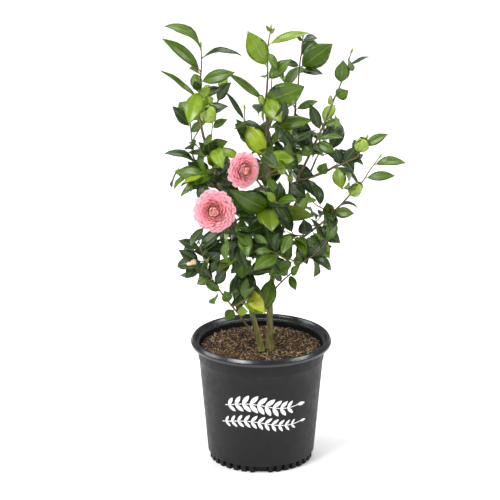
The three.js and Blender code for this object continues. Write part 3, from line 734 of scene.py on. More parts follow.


# ---------------------------------------------------------------- leaves set one by one on the outline

# (shoot, height, right, up, forward, width, arch, face, tint): the leaf leaves its shoot at a height, and its
# tip lies that far right, up and forward of there, in millimetres. face is 0 where its upper side looks
# up and 1 where it looks forward.
KEY_LEAVES = [
    ("left_leader_shoot", 825, -70, 48, 10, 27, 1.4, 0.25, "green"),
    ("left_leader_shoot", 782, -74, 70, 15, 23, 0.8, 0.5, "green"),
    ("left_leader_shoot", 727, -76, 62, 5, 17, 0.3, 0.35, "green"),
    ("left_leader_shoot", 809, 78, 6, 10, 20, 1.5, 0.3, "deep"),
    ("left_leader_shoot", 763, 67, 22, 10, 27, 0.8, 0.65, "green"),
    ("left_leader_shoot", 748, -20, -52, 52, 36, 0.8, 0.8, "bright"),
    ("left_leader_shoot", 748, -10, 26, 25, 18, 0.3, 0.8, "deep"),
    ("left_leader_shoot", 733, 20, 26, 20, 20, 0.3, 0.7, "bright"),
    ("left_leader_shoot", 736, 42, 14, -10, 20, 0.3, 0.5, "deep"),
    ("left_leader", 703, 56, 18, 15, 25, 0.8, 0.6, "deep"),
    ("left_leader", 672, 10, 60, -15, 24, 0.3, 0.7, "bright"),
    ("left_leader", 620, -4, 34, 26, 30, 0.3, 0.8, "deep"),
    ("left_leader", 614, -24, 34, 10, 18, 0.3, 0.6, "deep"),
    ("left_leader_twig", 672, 30, 20, 10, 17, 0.8, 0.6, "green"),
    ("left_leader", 634, 40, 16, 12, 22, 0.8, 0.7, "green"),
    ("left_leader", 596, -14, 32, 34, 16, 0.3, 0.7, "fresh"),
    ("left_leader", 594, 12, 34, 34, 15, 0.3, 0.7, "fresh"),
    ("left_leader", 590, -40, -22, 30, 26, 0.8, 0.7, "green"),
    ("left_leader", 590, 30, 20, 30, 26, 0.8, 0.8, "deep"),
    ("left_leader", 578, 34, -6, 34, 30, 0.8, 0.85, "deep"),
    ("left_stem", 560, 40, -14, 28, 30, 0.8, 0.85, "deep"),
    ("centre_leader", 520, -64, 20, 20, 30, 0.8, 0.8, "deep"),
    ("left_side_shoot", 662, -35, 45, 10, 24, 0.3, 0.6, "deep"),
    ("left_side_shoot", 650, 22, 30, 10, 17, 0.3, 0.7, "green"),
    ("left_side_shoot", 694, 14, 34, 5, 14, 0.3, 0.6, "green"),
    ("left_side_bough", 590, -62, 22, 5, 18, 1.5, 0.3, "deep"),
    ("left_tip_shoot", 568, -34, 34, 10, 24, 0.8, 0.8, "deep"),
    ("left_tip_shoot", 566, -62, 16, 10, 19, 0.8, 0.5, "bright"),
    ("left_tip_shoot", 556, 36, -2, 30, 20, 0.8, 0.6, "deep"),
    ("left_tip_shoot", 552, -42, -20, 20, 24, 0.8, 0.6, "green"),
    ("left_tip_shoot", 550, -50, -36, 10, 14, 0.8, 0.4, "green"),
    ("centre_leader_shoot", 781, -38, 74, 8, 42, 0.3, 0.85, "bright"),
    ("centre_leader_shoot", 825, 79, 26, 10, 20, 0.8, 0.5, "bright"),
    ("centre_leader_shoot", 812, 18, -28, 22, 16, 0.8, 0.6, "green"),
    ("centre_leader_shoot", 757, 46, 44, 12, 27, 0.8, 0.65, "green"),
    ("centre_leader_shoot", 716, 74, 34, 20, 46, 1.5, 0.85, "green"),
    ("centre_leader_shoot", 722, 30, -34, 52, 36, 0.8, 0.85, "bright"),
    ("centre_leader_shoot", 698, -74, 60, 8, 18, 0.3, 0.55, "green"),
    ("centre_leader_shoot", 850, -9, 15, 3, 7, 0.3, 0.6, "bright"),
    ("centre_leader_shoot", 846, 10, 14, 5, 7, 0.3, 0.6, "bright"),
    ("centre_second_shoot", 738, 38, 6, 14, 22, 0.8, 0.6, "green"),
    ("centre_left_twig", 677, -39, 64, 6, 12, 0.3, 0.5, "deep"),
    ("centre_left_twig", 674, 42, -54, 36, 40, 0.8, 0.95, "fresh"),
    ("centre_left_twig", 646, -26, 40, 8, 18, 0.3, 0.6, "green"),
    ("right_centre_shoot", 768, 63, 50, 8, 44, 0.8, 0.8, "green"),
    ("right_centre_shoot", 822, 28, 8, 14, 17, 0.8, 0.5, "deep"),
    ("right_centre_shoot", 820, -12, 12, 5, 9, 0.3, 0.5, "deep"),
    ("right_centre_shoot", 762, 46, -4, 10, 19, 0.8, 0.5, "deep"),
    ("right_centre_shoot", 772, -32, 8, 12, 18, 0.8, 0.5, "deep"),
    ("right_centre_leader", 686, 44, 20, 8, 17, 0.3, 0.5, "green"),
    ("right_leader", 658, -22, 56, 6, 22, 0.3, 0.8, "deep"),
    ("right_leader", 625, -34, 68, 6, 24, 0.3, 0.8, "deep"),
    ("right_leader_shoot", 753, 4, 50, 10, 30, 0.3, 0.8, "green"),
    ("right_leader_shoot", 786, 40, 21, 4, 11, 0.3, 0.25, "deep"),
    ("right_leader_shoot", 727, 25, 18, 20, 26, 0.3, 0.85, "green"),
    ("right_leader", 668, 32, 14, 6, 16, 0.3, 0.6, "green"),
    ("right_leader", 642, 51, 4, 6, 14, 0.8, 0.5, "green"),
    ("right_leader", 634, 38, -14, 22, 22, 0.8, 0.7, "green"),
    ("right_leader", 624, -24, -10, 24, 24, 0.8, 0.7, "green"),
    ("right_bud_twig", 640, 48, 26, 0, 20, 0.3, 0.55, "green"),
    ("right_side_bough", 600, -10, 36, 10, 22, 0.3, 0.7, "deep"),
    ("right_side_bough", 603, 26, 36, 5, 24, 0.3, 0.7, "deep"),
    ("right_side_bough", 596, 10, -38, 26, 27, 0.8, 0.85, "bright"),
    ("right_side_bough", 574, 12, 30, 20, 22, 0.8, 0.7, "green"),
    ("right_side_bough", 562, 18, -34, 22, 20, 0.8, 0.7, "deep"),
    ("right_low_shoot", 604, 62, 4, 2, 20, 1.5, 0.5, "green"),
    ("right_low_shoot", 580, 58, 6, 4, 20, 0.8, 0.6, "green"),
    ("right_low_bough", 500, -6, 32, 14, 24, 0.3, 0.7, "green"),
    ("right_low_bough", 506, 42, 4, 16, 22, 0.8, 0.6, "green"),
    ("right_low_bough", 480, 40, -30, 20, 28, 0.8, 0.8, "deep"),
    ("right_low_bough", 468, 34, -50, 20, 30, 0.8, 0.85, "bright"),
    ("right_low_bough", 458, -6, 40, 24, 28, 0.8, 0.8, "deep"),
    ("right_low_bough", 446, 16, -40, 28, 26, 0.8, 0.8, "deep"),
    ("centre_leader", 600, -60, 80, 2, 36, 0.3, 0.6, "deep"),
    ("centre_leader", 640, -64, 26, -16, 40, 0.8, 0.75, "deep"),
    ("centre_leader", 596, 14, 44, 34, 42, 0.3, 0.85, "deep"),
    ("centre_leader", 664, 88, 18, 12, 27, 0.8, 0.7, "green"),
    ("right_centre_leader", 628, 36, 24, 34, 44, 0.8, 0.85, "deep"),
    ("right_centre_leader", 600, 58, 6, 14, 16, 0.8, 0.4, "green"),
    ("right_centre_leader", 578, 46, -16, 24, 26, 0.8, 0.75, "deep"),
    ("right_centre_leader", 546, 30, -20, 36, 36, 0.8, 0.85, "deep"),
    ("right_leader", 560, 42, -32, 14, 21, 0.8, 0.7, "deep"),
    ("centre_leader", 560, 8, -66, 16, 20, 0.8, 0.8, "deep"),
    ("centre_leader", 530, 34, -6, 30, 18, 0.8, 0.6, "bright"),
    ("centre_leader", 500, -80, 60, 56, 44, 0.8, 0.9, "green"),
    ("centre_leader", 512, 2, -36, 62, 56, 0.8, 0.85, "bright"),
    ("centre_leader", 500, 84, -2, 30, 30, 0.8, 0.75, "bright"),
    ("centre_leader", 480, -56, -14, 44, 36, 0.8, 0.8, "deep"),
    ("centre_leader", 452, -34, -30, 44, 48, 0.8, 0.9, "deep"),
    ("main_stem", 414, -46, -16, 44, 46, 0.8, 0.85, "deep"),
    ("main_stem", 415, 30, 30, 34, 40, 0.8, 0.85, "green"),
    ("centre_leader", 450, -54, -30, 36, 44, 0.8, 0.9, "deep"),
    ("main_stem", 412, -60, -26, 40, 34, 0.8, 0.9, "deep"),
    ("left_stem", 470, -12, -55, 26, 28, 0.8, 0.9, "deep"),
    ("left_stem", 420, 0, -40, 26, 38, 0.8, 0.9, "green"),
    ("main_stem", 372, -22, -66, 30, 34, 0.8, 0.9, "green"),
    ("left_stem", 400, -18, -66, 22, 28, 0.8, 0.9, "deep"),
    ("right_foot_twig", 400, 6, 34, 14, 18, 0.3, 0.7, "green"),
    ("right_foot_twig", 384, 12, -26, 18, 16, 0.8, 0.7, "green"),
    ("right_foot_shoot", 426, 18, 10, 6, 9, 0.3, 0.6, "green"),
    ("right_foot_shoot", 434, 22, 16, 4, 9, 0.3, 0.6, "bright"),
    ("right_foot_shoot", 438, 20, -6, 8, 8, 0.3, 0.6, "bright"),
    ("right_foot_twig", 366, -14, 26, 14, 14, 0.3, 0.7, "deep"),
    ("right_foot_twig", 414, -14, 24, 6, 12, 0.3, 0.7, "green"),
    ("left_low_twig", 420, -26, -30, 14, 24, 0.8, 0.8, "deep"),
    ("left_low_twig", 414, 30, 26, 22, 38, 0.8, 0.85, "deep"),
    ("left_low_twig", 418, -40, 26, 10, 22, 0.8, 0.7, "deep"),
    ("left_stem", 424, -26, 32, 26, 26, 0.8, 0.85, "deep"),
    ("left_stem", 396, 10, -56, 30, 40, 0.8, 0.9, "deep"),
    ("left_stem", 380, -30, -30, 26, 28, 0.8, 0.85, "green"),
    ("left_stem", 372, -16, -60, 20, 24, 0.8, 0.8, "deep"),
    ("left_stem", 352, 36, -34, 46, 30, 0.8, 0.9, "yellow"),
    ("left_stem", 340, -34, -18, 16, 16, 0.8, 0.7, "deep"),
    ("left_foot_bough", 332, -10, 28, 10, 22, 0.3, 0.7, "green"),
    ("left_foot_bough", 318, -18, -18, 14, 22, 0.8, 0.8, "green"),
    ("left_foot_bough", 312, 22, 6, 16, 20, 0.8, 0.7, "bright"),
    ("left_foot_bough", 356, -34, 26, 10, 18, 0.8, 0.6, "green"),
    ("left_foot_bough", 372, 22, 34, 10, 20, 0.8, 0.7, "deep"),
    ("left_foot_shoot", 386, -30, 30, 6, 18, 0.8, 0.7, "deep"),
    ("left_foot_shoot", 390, -26, -14, 10, 20, 0.8, 0.7, "green"),
    ("left_foot_shoot", 394, 14, 32, 6, 18, 0.3, 0.7, "deep"),
]


def set_key_leaves():
    """The heights, reaches and rises of the list grow with the crown, as its limbs do."""
    for shoot, height, right, up, forward, width, arch, face, tint in KEY_LEAVES:
        limb = LIMBS[shoot]
        place = limb.at(limb.at_height(height * RISE * MM))
        reach = Vector((right * SPREAD, -forward, up * RISE)) * MM
        looks = UP * (1 - face) + FRONT * face
        set_leaf(place, reach, looks, tint, width * MM / reach.length, arch)


# ---------------------------------------------------------------- twigs and leaves grown by rule

AXIS = Vector((0.02, 0.0, 0))  # the crown's middle, seen from above
TWIGS = []

# the twigs that fill a mass: a number to seed them by, how many, and the share of deep, green, bright and
# fresh leaves
FILL = {
    "left_shoulder": (4, 5, (5, 3, 1, 1)),
    "left_tip": (6, 2, (4, 3, 1, 0)),
    "front_left_spray": (7, 8, (6, 3, 1, 0)),
    "left_foot_spray": (8, 4, (5, 3, 1, 0)),
    "foot_spray": (9, 4, (4, 3, 1, 0)),
    "centre_spray": (10, 5, (5, 4, 2, 1)),
    "front_low_spray": (11, 9, (6, 4, 1, 0)),
    "right_shoulder": (12, 3, (4, 4, 1, 0)),
    "right_middle_spray": (14, 4, (5, 4, 1, 0)),
    "right_low_spray": (15, 3, (4, 4, 2, 0)),
    "right_inner_spray": (16, 5, (5, 3, 1, 0)),
    "right_foot_spray": (17, 1, (3, 4, 2, 0)),
    "back_left_spray": (18, 6, (5, 4, 1, 0)),
    "back_left_top": (19, 3, (3, 5, 2, 1)),
    "back_centre_top": (20, 3, (3, 5, 2, 1)),
    "back_centre_spray": (21, 7, (5, 4, 1, 0)),
    "back_low_spray": (22, 7, (6, 3, 1, 0)),
    "back_right_spray": (23, 5, (4, 5, 1, 0)),
    "back_right_low": (24, 4, (5, 4, 1, 0)),
}

# gaps that leaves grown by rule keep out of: middle across and up, half width and half height, in mm. Up is
# the height at the shrub's middle of what is seen there from the front.
OPENINGS = [
    (50, 845, 25, 16), (-80, 815, 35, 12), (-25, 780, 25, 30), (140, 790, 18, 55), (95, 745, 28, 35),
    (210, 735, 40, 60), (-35, 730, 30, 18), (-85, 680, 35, 25), (-175, 660, 28, 40), (150, 645, 28, 15),
    (-65, 640, 20, 12), (-30, 640, 12, 16), (65, 605, 10, 12), (125, 595, 22, 20), (50, 550, 10, 18),
    (145, 545, 22, 24), (110, 515, 12, 20), (-170, 500, 35, 40), (70, 470, 18, 16), (185, 460, 40, 50),
    (-85, 385, 14, 30), (-150, 330, 50, 30), (90, 320, 60, 35), (-42, 310, 16, 14),
]

# each bloom's heart in mm, the way it looks, its radius in mm, and the bough that carries it
BLOOMS = [
    (Vector((-92, -100, 544)), Vector((-0.06, -1, 0.2)), 45, "front_left_bough"),
    (Vector((-28, -92, 624)), Vector((0.55, -0.84, 0.12)), 39, "front_centre_bough"),
]

# what no leaf grown by rule stands in front of, the two blooms and three large leaves: middle across and up
# as for the gaps, radius, and the Y that leaves keep behind, in mm
IN_VIEW = [
    (-92, 510, 50, -70), (-28, 593, 42, -62), (-28, 527, 26, -30), (10, 492, 24, -30), (-12, 654, 26, 0),
]

OVERHANG = 4 * MM  # how far a leaf's tip may stand out past the box that holds the whole shrub
DROOP = 0.25  # how much a leaf's weight turns it down
NEAR_TIP = 0.6  # the part of a shoot from which its leaves crowd and shrink


def stays_clear(place, reach):
    """Whether a leaf keeps inside the shrub's box, out of the crown's gaps, and behind what is in view."""
    low, high = CAD_BOX
    if not all(low[i] - OVERHANG < place[i] + reach[i] < high[i] + OVERHANG for i in range(3)):
        return False
    for part in (0.3, 0.55, 0.8, 1.0):
        spot = (place + reach * part) / MM
        up = spot.z + spot.y * math.tan(LOOK_DOWN)  # a place nearer the front is seen lower down
        in_gap = any(abs(spot.x - x) < wide and abs(up - z) < tall for x, z, wide, tall in OPENINGS)
        if in_gap and part > 0.5:
            return False
        if any(spot.y < depth and math.hypot(spot.x - x, up - z) < radius for x, z, radius, depth in IN_VIEW):
            return False
    return True


def leafy(limb, rng, weights, first, spacing, length, turn=None, last=1.0):
    """Leaves spiral up a shoot at the golden angle, closer and smaller towards its tip. Returns how many."""
    part = first
    set_leaves = 0
    span = sum((b - a).length for a, b in zip(limb.points, limb.points[1:]))
    bearing = rng.uniform(0, 2 * math.pi) if turn is None else turn
    while part <= last:
        along = limb.along(part)
        side = along.orthogonal().normalized()
        side.rotate(Matrix.Rotation(bearing, 3, along))
        near_tip = max(0.0, (part - NEAR_TIP) / (1 - NEAR_TIP))
        spread = math.radians(rng.uniform(48, 74) - 24 * near_tip)
        way = along * math.cos(spread) + side * math.sin(spread)
        way -= UP * DROOP * rng.uniform(0.3, 1.3) * (1 - near_tip)
        place = limb.at(part)
        outward = ((place - AXIS) * Vector((1, 1, 0))).normalized()
        looks = UP * rng.uniform(0.6, 1.1) + outward * rng.uniform(0.2, 0.9) + FRONT * 0.2
        looks += Vector((rng.gauss(0, 0.25), rng.gauss(0, 0.25), rng.gauss(0, 0.2)))
        size = rng.uniform(*length) * (1 - 0.3 * near_tip) * MM
        tint = rng.choices(TINTS[:4], weights)[0]
        flat, arching, curled = LEAF_ARCHES
        arch = rng.choice((flat, arching, arching, curled))
        width = rng.uniform(0.4, 0.52)
        reach = way.normalized() * size
        if stays_clear(place, reach):
            set_leaf(place, reach, looks, tint, width, arch)
            set_leaves += 1
        bearing += GOLDEN + rng.gauss(0, 0.15)
        part += spacing * rng.uniform(0.7, 1.3) * (1 - 0.4 * near_tip) / span
    return set_leaves


def where_it_leaves(target, rng):
    """The place on a stem or bough that suits a twig bound for a target: near it, and a little below."""

    def cost(place):
        gap = target - place
        return gap.length + max(0, 0.25 * gap.length - gap.z) * 1.5 + rng.uniform(0, 0.012)

    places = [
        LIMBS[name].at(part)
        for name in (*STEMS, *BOUGHS)
        for part in np.linspace(0.1 if name in BOUGHS else 0.35, 1, 12)
    ]
    return min(places, key=cost)


TWIG_RADII = (1.5 * MM, 0.9 * MM)
LEAFY_END = 85 * MM  # how much of a twig's end carries leaves
FEWEST_LEAVES = 3  # that a twig is kept for


def fill_masses():
    """The seeded branching rule: from the limbs, twigs bend up into each mass and carry leaves."""
    for mass, (number, count, weights) in FILL.items():
        rng = random.Random(100 + number)
        low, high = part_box(mass)
        middle, half = (low + high) / 2, (high - low) / 2
        for i in range(count):
            angle = i * GOLDEN + number
            level = (i + 0.5) / count * 1.5 - 0.75
            ring = math.sqrt(max(0.1, 1 - level * level)) * rng.uniform(0.55, 0.78)
            across = Vector((ring * math.cos(angle), ring * math.sin(angle), level))
            target = middle + across * half
            start = where_it_leaves(target, rng)
            twig = limb_between(start, target, (0.1, 0.08), TWIG_RADII, wander=2.5 * MM, seed=number * 10 + i,
                                step=5 * MM)
            bare = max(0.2, 1 - LEAFY_END / max((target - start).length, 10 * MM))
            if leafy(twig, rng, weights, bare, 13.5 * MM, (48, 76)) >= FEWEST_LEAVES:
                TWIGS.append(twig)


def clothe_shoots():
    """A few leaves by rule on the shoots that the key leaves leave thin, turned to their backs."""
    rng = random.Random(31)
    # the shoot, its tints as for the twigs, the part of it where leaves begin, and the step between them
    for name, weights, first, spacing in (
        ("left_leader_shoot", (3, 3, 1, 0), 0.25, 0.034),
        ("left_leader", (4, 3, 1, 0), 0.3, 0.03),
        ("left_side_bough", (4, 3, 1, 0), 0.4, 0.03),
        ("centre_leader_shoot", (2, 3, 1, 0), 0.15, 0.036),
        ("centre_second_shoot", (2, 3, 1, 0), 0.5, 0.03),
        ("centre_left_twig", (3, 3, 1, 0), 0.4, 0.034),
        ("right_centre_shoot", (3, 3, 1, 0), 0.2, 0.036),
        ("right_centre_leader", (4, 3, 1, 0), 0.5, 0.03),
        ("right_leader_shoot", (3, 3, 1, 0), 0.25, 0.034),
        ("right_leader", (4, 3, 1, 0), 0.45, 0.032),
        ("right_side_bough", (4, 3, 1, 0), 0.35, 0.032),
        ("right_low_bough", (4, 3, 1, 0), 0.4, 0.032),
    ):
        leafy(LIMBS[name], rng, weights, first, spacing, (40, 60), turn=rng.uniform(1, 2), last=0.78)


# ---------------------------------------------------------------- blooms and buds

RINGS_OF_PETALS = 4
PETAL_COUNT = 118
PETALS = [Stations() for _ in range(RINGS_OF_PETALS)]
SCALES = {"green": Stations(), "peach": Stations()}


def set_bloom(heart, looks, radius, seed):
    """A formal double bloom: petals like tiles on a spiral, upright in the heart and flat at the edge. Its
    numbers are shares of its radius, and angles in degrees."""
    rng = random.Random(seed)
    side = looks.orthogonal().normalized()
    for i in range(PETAL_COUNT):
        part = (i + 0.5) / PETAL_COUNT
        out = side.copy()
        out.rotate(Matrix.Rotation(i * GOLDEN + rng.gauss(0, 0.06), 3, looks))
        lip = radius * (0.06 + 0.92 * part**0.58)  # how far out its lip stands
        length = radius * (0.24 + 0.22 * part**0.7) * rng.uniform(0.94, 1.06)
        opened = math.radians(-14 + 100 * part**0.42 + rng.gauss(0, 3))
        way = looks * math.cos(opened) + out * math.sin(opened)
        height = radius * (0.1 - 0.42 * part**1.5)  # of its lip above the bloom's middle
        root = heart + out * lip + looks * height - way * length
        face = looks * math.sin(opened) - out * math.cos(opened)
        ring = min(RINGS_OF_PETALS - 1, int(RINGS_OF_PETALS * part**0.7))
        PETALS[ring].add(root, way, face, (length, length * rng.uniform(1.0, 1.16), length), ring)


def set_bud(base, looks, length, width, kind="green", scales=9, seed=0):
    """A bud of overlapping scales round its axis, the lower ones shorter. Sizes are in millimetres."""
    rng = random.Random(seed)
    looks = looks.normalized()
    side = looks.orthogonal().normalized()
    for i in range(scales):
        part = i / (scales - 1)
        out = side.copy()
        out.rotate(Matrix.Rotation(i * GOLDEN, 3, looks))
        way = looks + out * rng.uniform(-0.02, 0.02)
        long = length * (0.55 + 0.45 * part) * MM
        thick = width * (1.06 - 0.12 * part) * MM
        SCALES[kind].add(base - looks * 0.03 * length * MM, way, out, (long, thick, thick), 0)


# the buds: limb, how far along it, the end of its stalk to the right, up and forward, the way it looks, and
# its length and width in millimetres
BUDS = [
    ("left_leader", 0.82, (12, 10, 16), (0.25, -0.3, 1), 40, 31),
    ("right_bud_twig", 0.35, (1, 2, 2), (0.1, -0.3, 1), 30, 28),
    ("right_low_bough", 0.82, (4, 4, 8), (0.5, -0.3, 0.8), 34, 25),
    ("centre_leader", 0.52, (24, 6, 4), (0.2, -0.5, 1), 20, 16),
    ("centre_leader", 0.99, (-6, 2, 8), (-0.2, -0.3, 1), 21, 14),
    ("right_leader", 0.93, (-4, 2, 6), (0.0, -0.3, 1), 20, 10),
    ("right_leader", 0.18, (-10, 10, 12), (-0.2, -0.4, 1), 16, 12),
]
BURSTING_BUD = ("left_low_twig", 1, (-4, 0, 2), (-1, -0.4, -0.05), 24, 17)  # showing its petals


def hang_bud(bud, **kind):
    """A bud on a short stalk from a limb."""
    limb, part, (right, up, forward), looks, length, width = bud
    start = LIMBS[limb].at(part)
    end = start + Vector((right, -forward, up)) * MM
    TWIGS.append(limb_between(start, end, (0.1, 0.06), (1.1 * MM, 1.1 * MM), step=3 * MM))
    set_bud(TWIGS[-1].points[-1], Vector(looks), length, width, **kind)


def set_blooms_and_buds():
    for seed, (heart, looks, radius, limb) in enumerate(BLOOMS, 1):
        looks = looks.normalized()
        set_bloom(heart * MM, looks, radius * MM, seed)
        back = heart * MM - looks * 15 * MM
        TWIGS.append(limb_between(LIMBS[limb].at(0.92), back, (0, 0), (2 * MM, 2.6 * MM)))
        set_bud(back - looks * 11 * MM, looks, 12, 21, scales=7, seed=9)
    for seed, bud in enumerate(BUDS):
        hang_bud(bud, seed=seed)
    hang_bud(BURSTING_BUD, kind="peach", seed=20)
    for name in SHOOTS:  # a slim leaf bud ends every shoot
        limb = LIMBS[name]
        set_bud(limb.points[-1], limb.along(1), 11, 4.4, scales=5, seed=3)


# ---------------------------------------------------------------- pot

WALL = 2.2 * MM  # the pot's thickness
NECK_RADIUS = 125 * MM
FOOT_RADIUS = 104.6 * MM
LIP_FOOT = POT_HEIGHT - 14 * MM  # the height of the lip's lower edge
SHOULDER = LIP_FOOT - 28 * MM  # of the faint step under the lip
FLOOR = 2.8 * MM  # the floor's upper side
FOOT_LUGS = 36
COLUMNS = 8  # of faces to each lug
LUG_HEIGHT = 14 * MM
GAP_DEPTH = 7 * MM  # between two lugs
DRAINS = 4
DRAIN_DEPTH = 9 * MM
DRAIN_HALF_WIDTH = math.radians(7.6)
ROLL = 4.6 * MM  # the radius of the lip's outer roll


def foot_recess(angle, height):
    """How far the foot is cut back at an angle: between its small lugs, and deeper at its wide drains."""
    if height > LUG_HEIGHT:
        return 0.0
    quarter = 2 * math.pi / DRAINS
    if abs((angle + math.pi / 2 + quarter / 2) % quarter - quarter / 2) < DRAIN_HALF_WIDTH:
        return DRAIN_DEPTH
    pitch = 2 * math.pi / FOOT_LUGS
    return GAP_DEPTH if abs(angle % pitch - pitch / 2) < 0.19 * pitch else 0.0


def wall_radius(z):
    """The tapering wall's outer radius at a height."""
    return FOOT_RADIUS + (NECK_RADIUS - 1.6 * MM - FOOT_RADIUS) * z / SHOULDER


def turned(name, material, profile, columns, recess=None):
    """A piece of the pot: a section turned about the pot's axis, a closed ring with its edges kept crisp."""
    verts = []
    faces = []
    n = len(profile)
    for j in range(columns):
        angle = 2 * math.pi * j / columns
        k = (j + 1) % columns
        for r, z in profile:
            cut = recess(angle, z) if recess else 0.0
            verts.append(((r - cut) * math.cos(angle), (r - cut) * math.sin(angle), z))
        faces += [(j * n + i, k * n + i, k * n + (i + 1) % n, j * n + (i + 1) % n) for i in range(n)]
    mesh = plain_mesh(name, verts, (), faces)
    mesh.validate()
    mesh.materials.append(material)
    mesh.shade_smooth()
    mesh.set_sharp_from_angle(angle=math.radians(35))
    declare(in_scene(name, mesh), "black_plastic", "pot")


def arc(middle, radius, start, end, count):
    """Points of a section's rounded stretch, its angles in degrees."""
    return [
        (middle[0] + radius * math.cos(math.radians(a)), middle[1] + radius * math.sin(math.radians(a)))
        for a in np.linspace(start, end, count)
    ]


def near(radius, height, *steps):
    """Points of a section, each so many millimetres out from a radius and up from a height."""
    return [(radius + out * MM, height + up * MM) for out, up in steps]


def make_pot(plastic, lip_plastic):
    # the lugs are set in a little under the wall's lower edge
    section = near(FOOT_RADIUS - WALL, 0, (-0.8, 0), (0, 0.8), (0.2, 7), (0.4, 13.8))
    section += near(wall_radius(LUG_HEIGHT), LUG_HEIGHT, (-0.8, 0.2), (0, 1.2))
    section += [(wall_radius(h * MM), h * MM) for h in (18, 40, 80, 120, 160, 190)]
    section += near(wall_radius(SHOULDER - 1.5 * MM), SHOULDER, (0, -1.5))
    section += near(NECK_RADIUS, SHOULDER, (-0.3, 1.2), (0, 3))
    section += near(NECK_RADIUS, LIP_FOOT, (0.4, 0.5)) + near(NECK_RADIUS - WALL, LIP_FOOT, (0.4, 0.5))
    section += near(NECK_RADIUS - WALL, SHOULDER, (0, 3), (-1.8, -1.5))
    section += near(wall_radius(24 * MM) - WALL, 0, (0, 24))
    section += near(FOOT_RADIUS, 0, (-10.5, 16), (-12.5, 3), (-12.5, 0))
    turned("pot_wall", plastic, section, FOOT_LUGS * COLUMNS, foot_recess)

    edge = FOOT_RADIUS - 12.7 * MM
    hub = 6 * MM
    turned("pot_floor", plastic, [(edge, 0.2 * MM), (edge, FLOOR), (hub, FLOOR), (hub, 0.2 * MM)], 96)

    lip = near(NECK_RADIUS, LIP_FOOT, (0.9, 1.2))
    lip += near(RIM_RADIUS, LIP_FOOT, (-4.5, 0.6), (-3.2, -0.2), (-1.9, 0.2))
    lip += arc((RIM_RADIUS - ROLL, LIP_FOOT + 5.4 * MM), ROLL, -40, 60, 8)
    lip += arc((RIM_RADIUS - 6.2 * MM, POT_HEIGHT - 3.4 * MM), 3.4 * MM, 40, 130, 7)
    lip += near(RIM_RADIUS, POT_HEIGHT, (-10.5, -4.2)) + near(NECK_RADIUS, POT_HEIGHT, (2.6, -8.6))
    lip += arc((NECK_RADIUS + 1.2 * MM, POT_HEIGHT - 10.4 * MM), 1.3 * MM, 75, 190, 5)
    lip += near(NECK_RADIUS - WALL, POT_HEIGHT, (0.2, -12)) + near(NECK_RADIUS - WALL, LIP_FOOT, (0.2, 1.2))
    turned("pot_lip", lip_plastic, lip, 256)


PRINT_LIFT = 0.12 * MM  # of the print's film off the wall
PRINT_FILM = 0.18 * MM  # its thickness


def print_leaf(middle, turn, length, width, verts, faces):
    """One plain leaf of the printed sprig, a closed film wrapped on the wall. middle is (round, up)."""
    rows = 9
    first = len(verts)
    for layer in (PRINT_LIFT, PRINT_LIFT + PRINT_FILM):
        for i in range(rows + 1):
            t = i / rows
            half = width / 2 * math.sin(math.pi * t) ** 0.8 + 0.05 * MM
            for side in (-1, 1):
                u = middle[0] + math.cos(turn) * t * length - math.sin(turn) * side * half
                v = middle[1] + math.sin(turn) * t * length + math.cos(turn) * side * half
                radius = wall_radius(v) + layer
                angle = -math.pi / 2 + u / wall_radius(v)
                verts.append((radius * math.cos(angle), radius * math.sin(angle), v))
    top = first + 2 * (rows + 1)
    for i in range(rows):
        a = first + 2 * i
        b = top + 2 * i
        faces += [(a, a + 2, a + 3, a + 1), (b, b + 1, b + 3, b + 2)]
        faces += [(a, b, b + 2, a + 2), (a + 1, a + 3, b + 3, b + 1)]
    a, b = first + 2 * rows, top + 2 * rows
    faces += [(first, first + 1, top + 1, top), (a, b, b + 1, a + 1)]


# the two sprigs: how long the stem is, how high up the pot, how far it waves, then how many pairs of leaves,
# and how long and wide the largest is
SPRIGS = ((152, 146, 6, 9, 25, 9.5), (168, 108, 6, 11, 19, 6.5))
STEM_PIECES = 30


def make_print(ink):
    """Two plain leafy sprigs printed in white across the pot's front, one above the other."""
    verts, faces = [], []
    for span, height, wave, pairs, long, wide in SPRIGS:
        def stem(t):
            return Vector((span * (t - 0.5), height + wave * math.sin(2 * math.pi * (t - 0.1)))) * MM

        for i in range(STEM_PIECES):
            a, b = stem(i / STEM_PIECES), stem((i + 1) / STEM_PIECES)
            lean = math.atan2(b.y - a.y, b.x - a.x)
            print_leaf(a, lean, (b - a).length * 1.35, 1.9 * MM, verts, faces)
        for i in range(pairs):
            t = 0.05 + 0.9 * i / pairs
            at, ahead = stem(t), stem(t + 0.03)
            lean = math.atan2(ahead.y - at.y, ahead.x - at.x)
            size = math.sin(math.pi * (0.22 + 0.66 * t)) ** 0.7 * MM
            for turn in (-math.radians(48), math.radians(48)):
                print_leaf(at, lean + turn, long * size, wide * size, verts, faces)
        print_leaf(stem(1), 0.0, 0.8 * long * MM, 0.8 * wide * MM, verts, faces)
    mesh = plain_mesh("sprig_print", verts, (), faces)
    mesh.materials.append(ink)
    declare(in_scene("sprig_print", mesh), "white_print")


# ---------------------------------------------------------------- growing mix

MIX_TAPER = 0.77  # its width at the pot's floor, of its width at the top
MIX_RINGS = 26
MIX_SIDES = 72


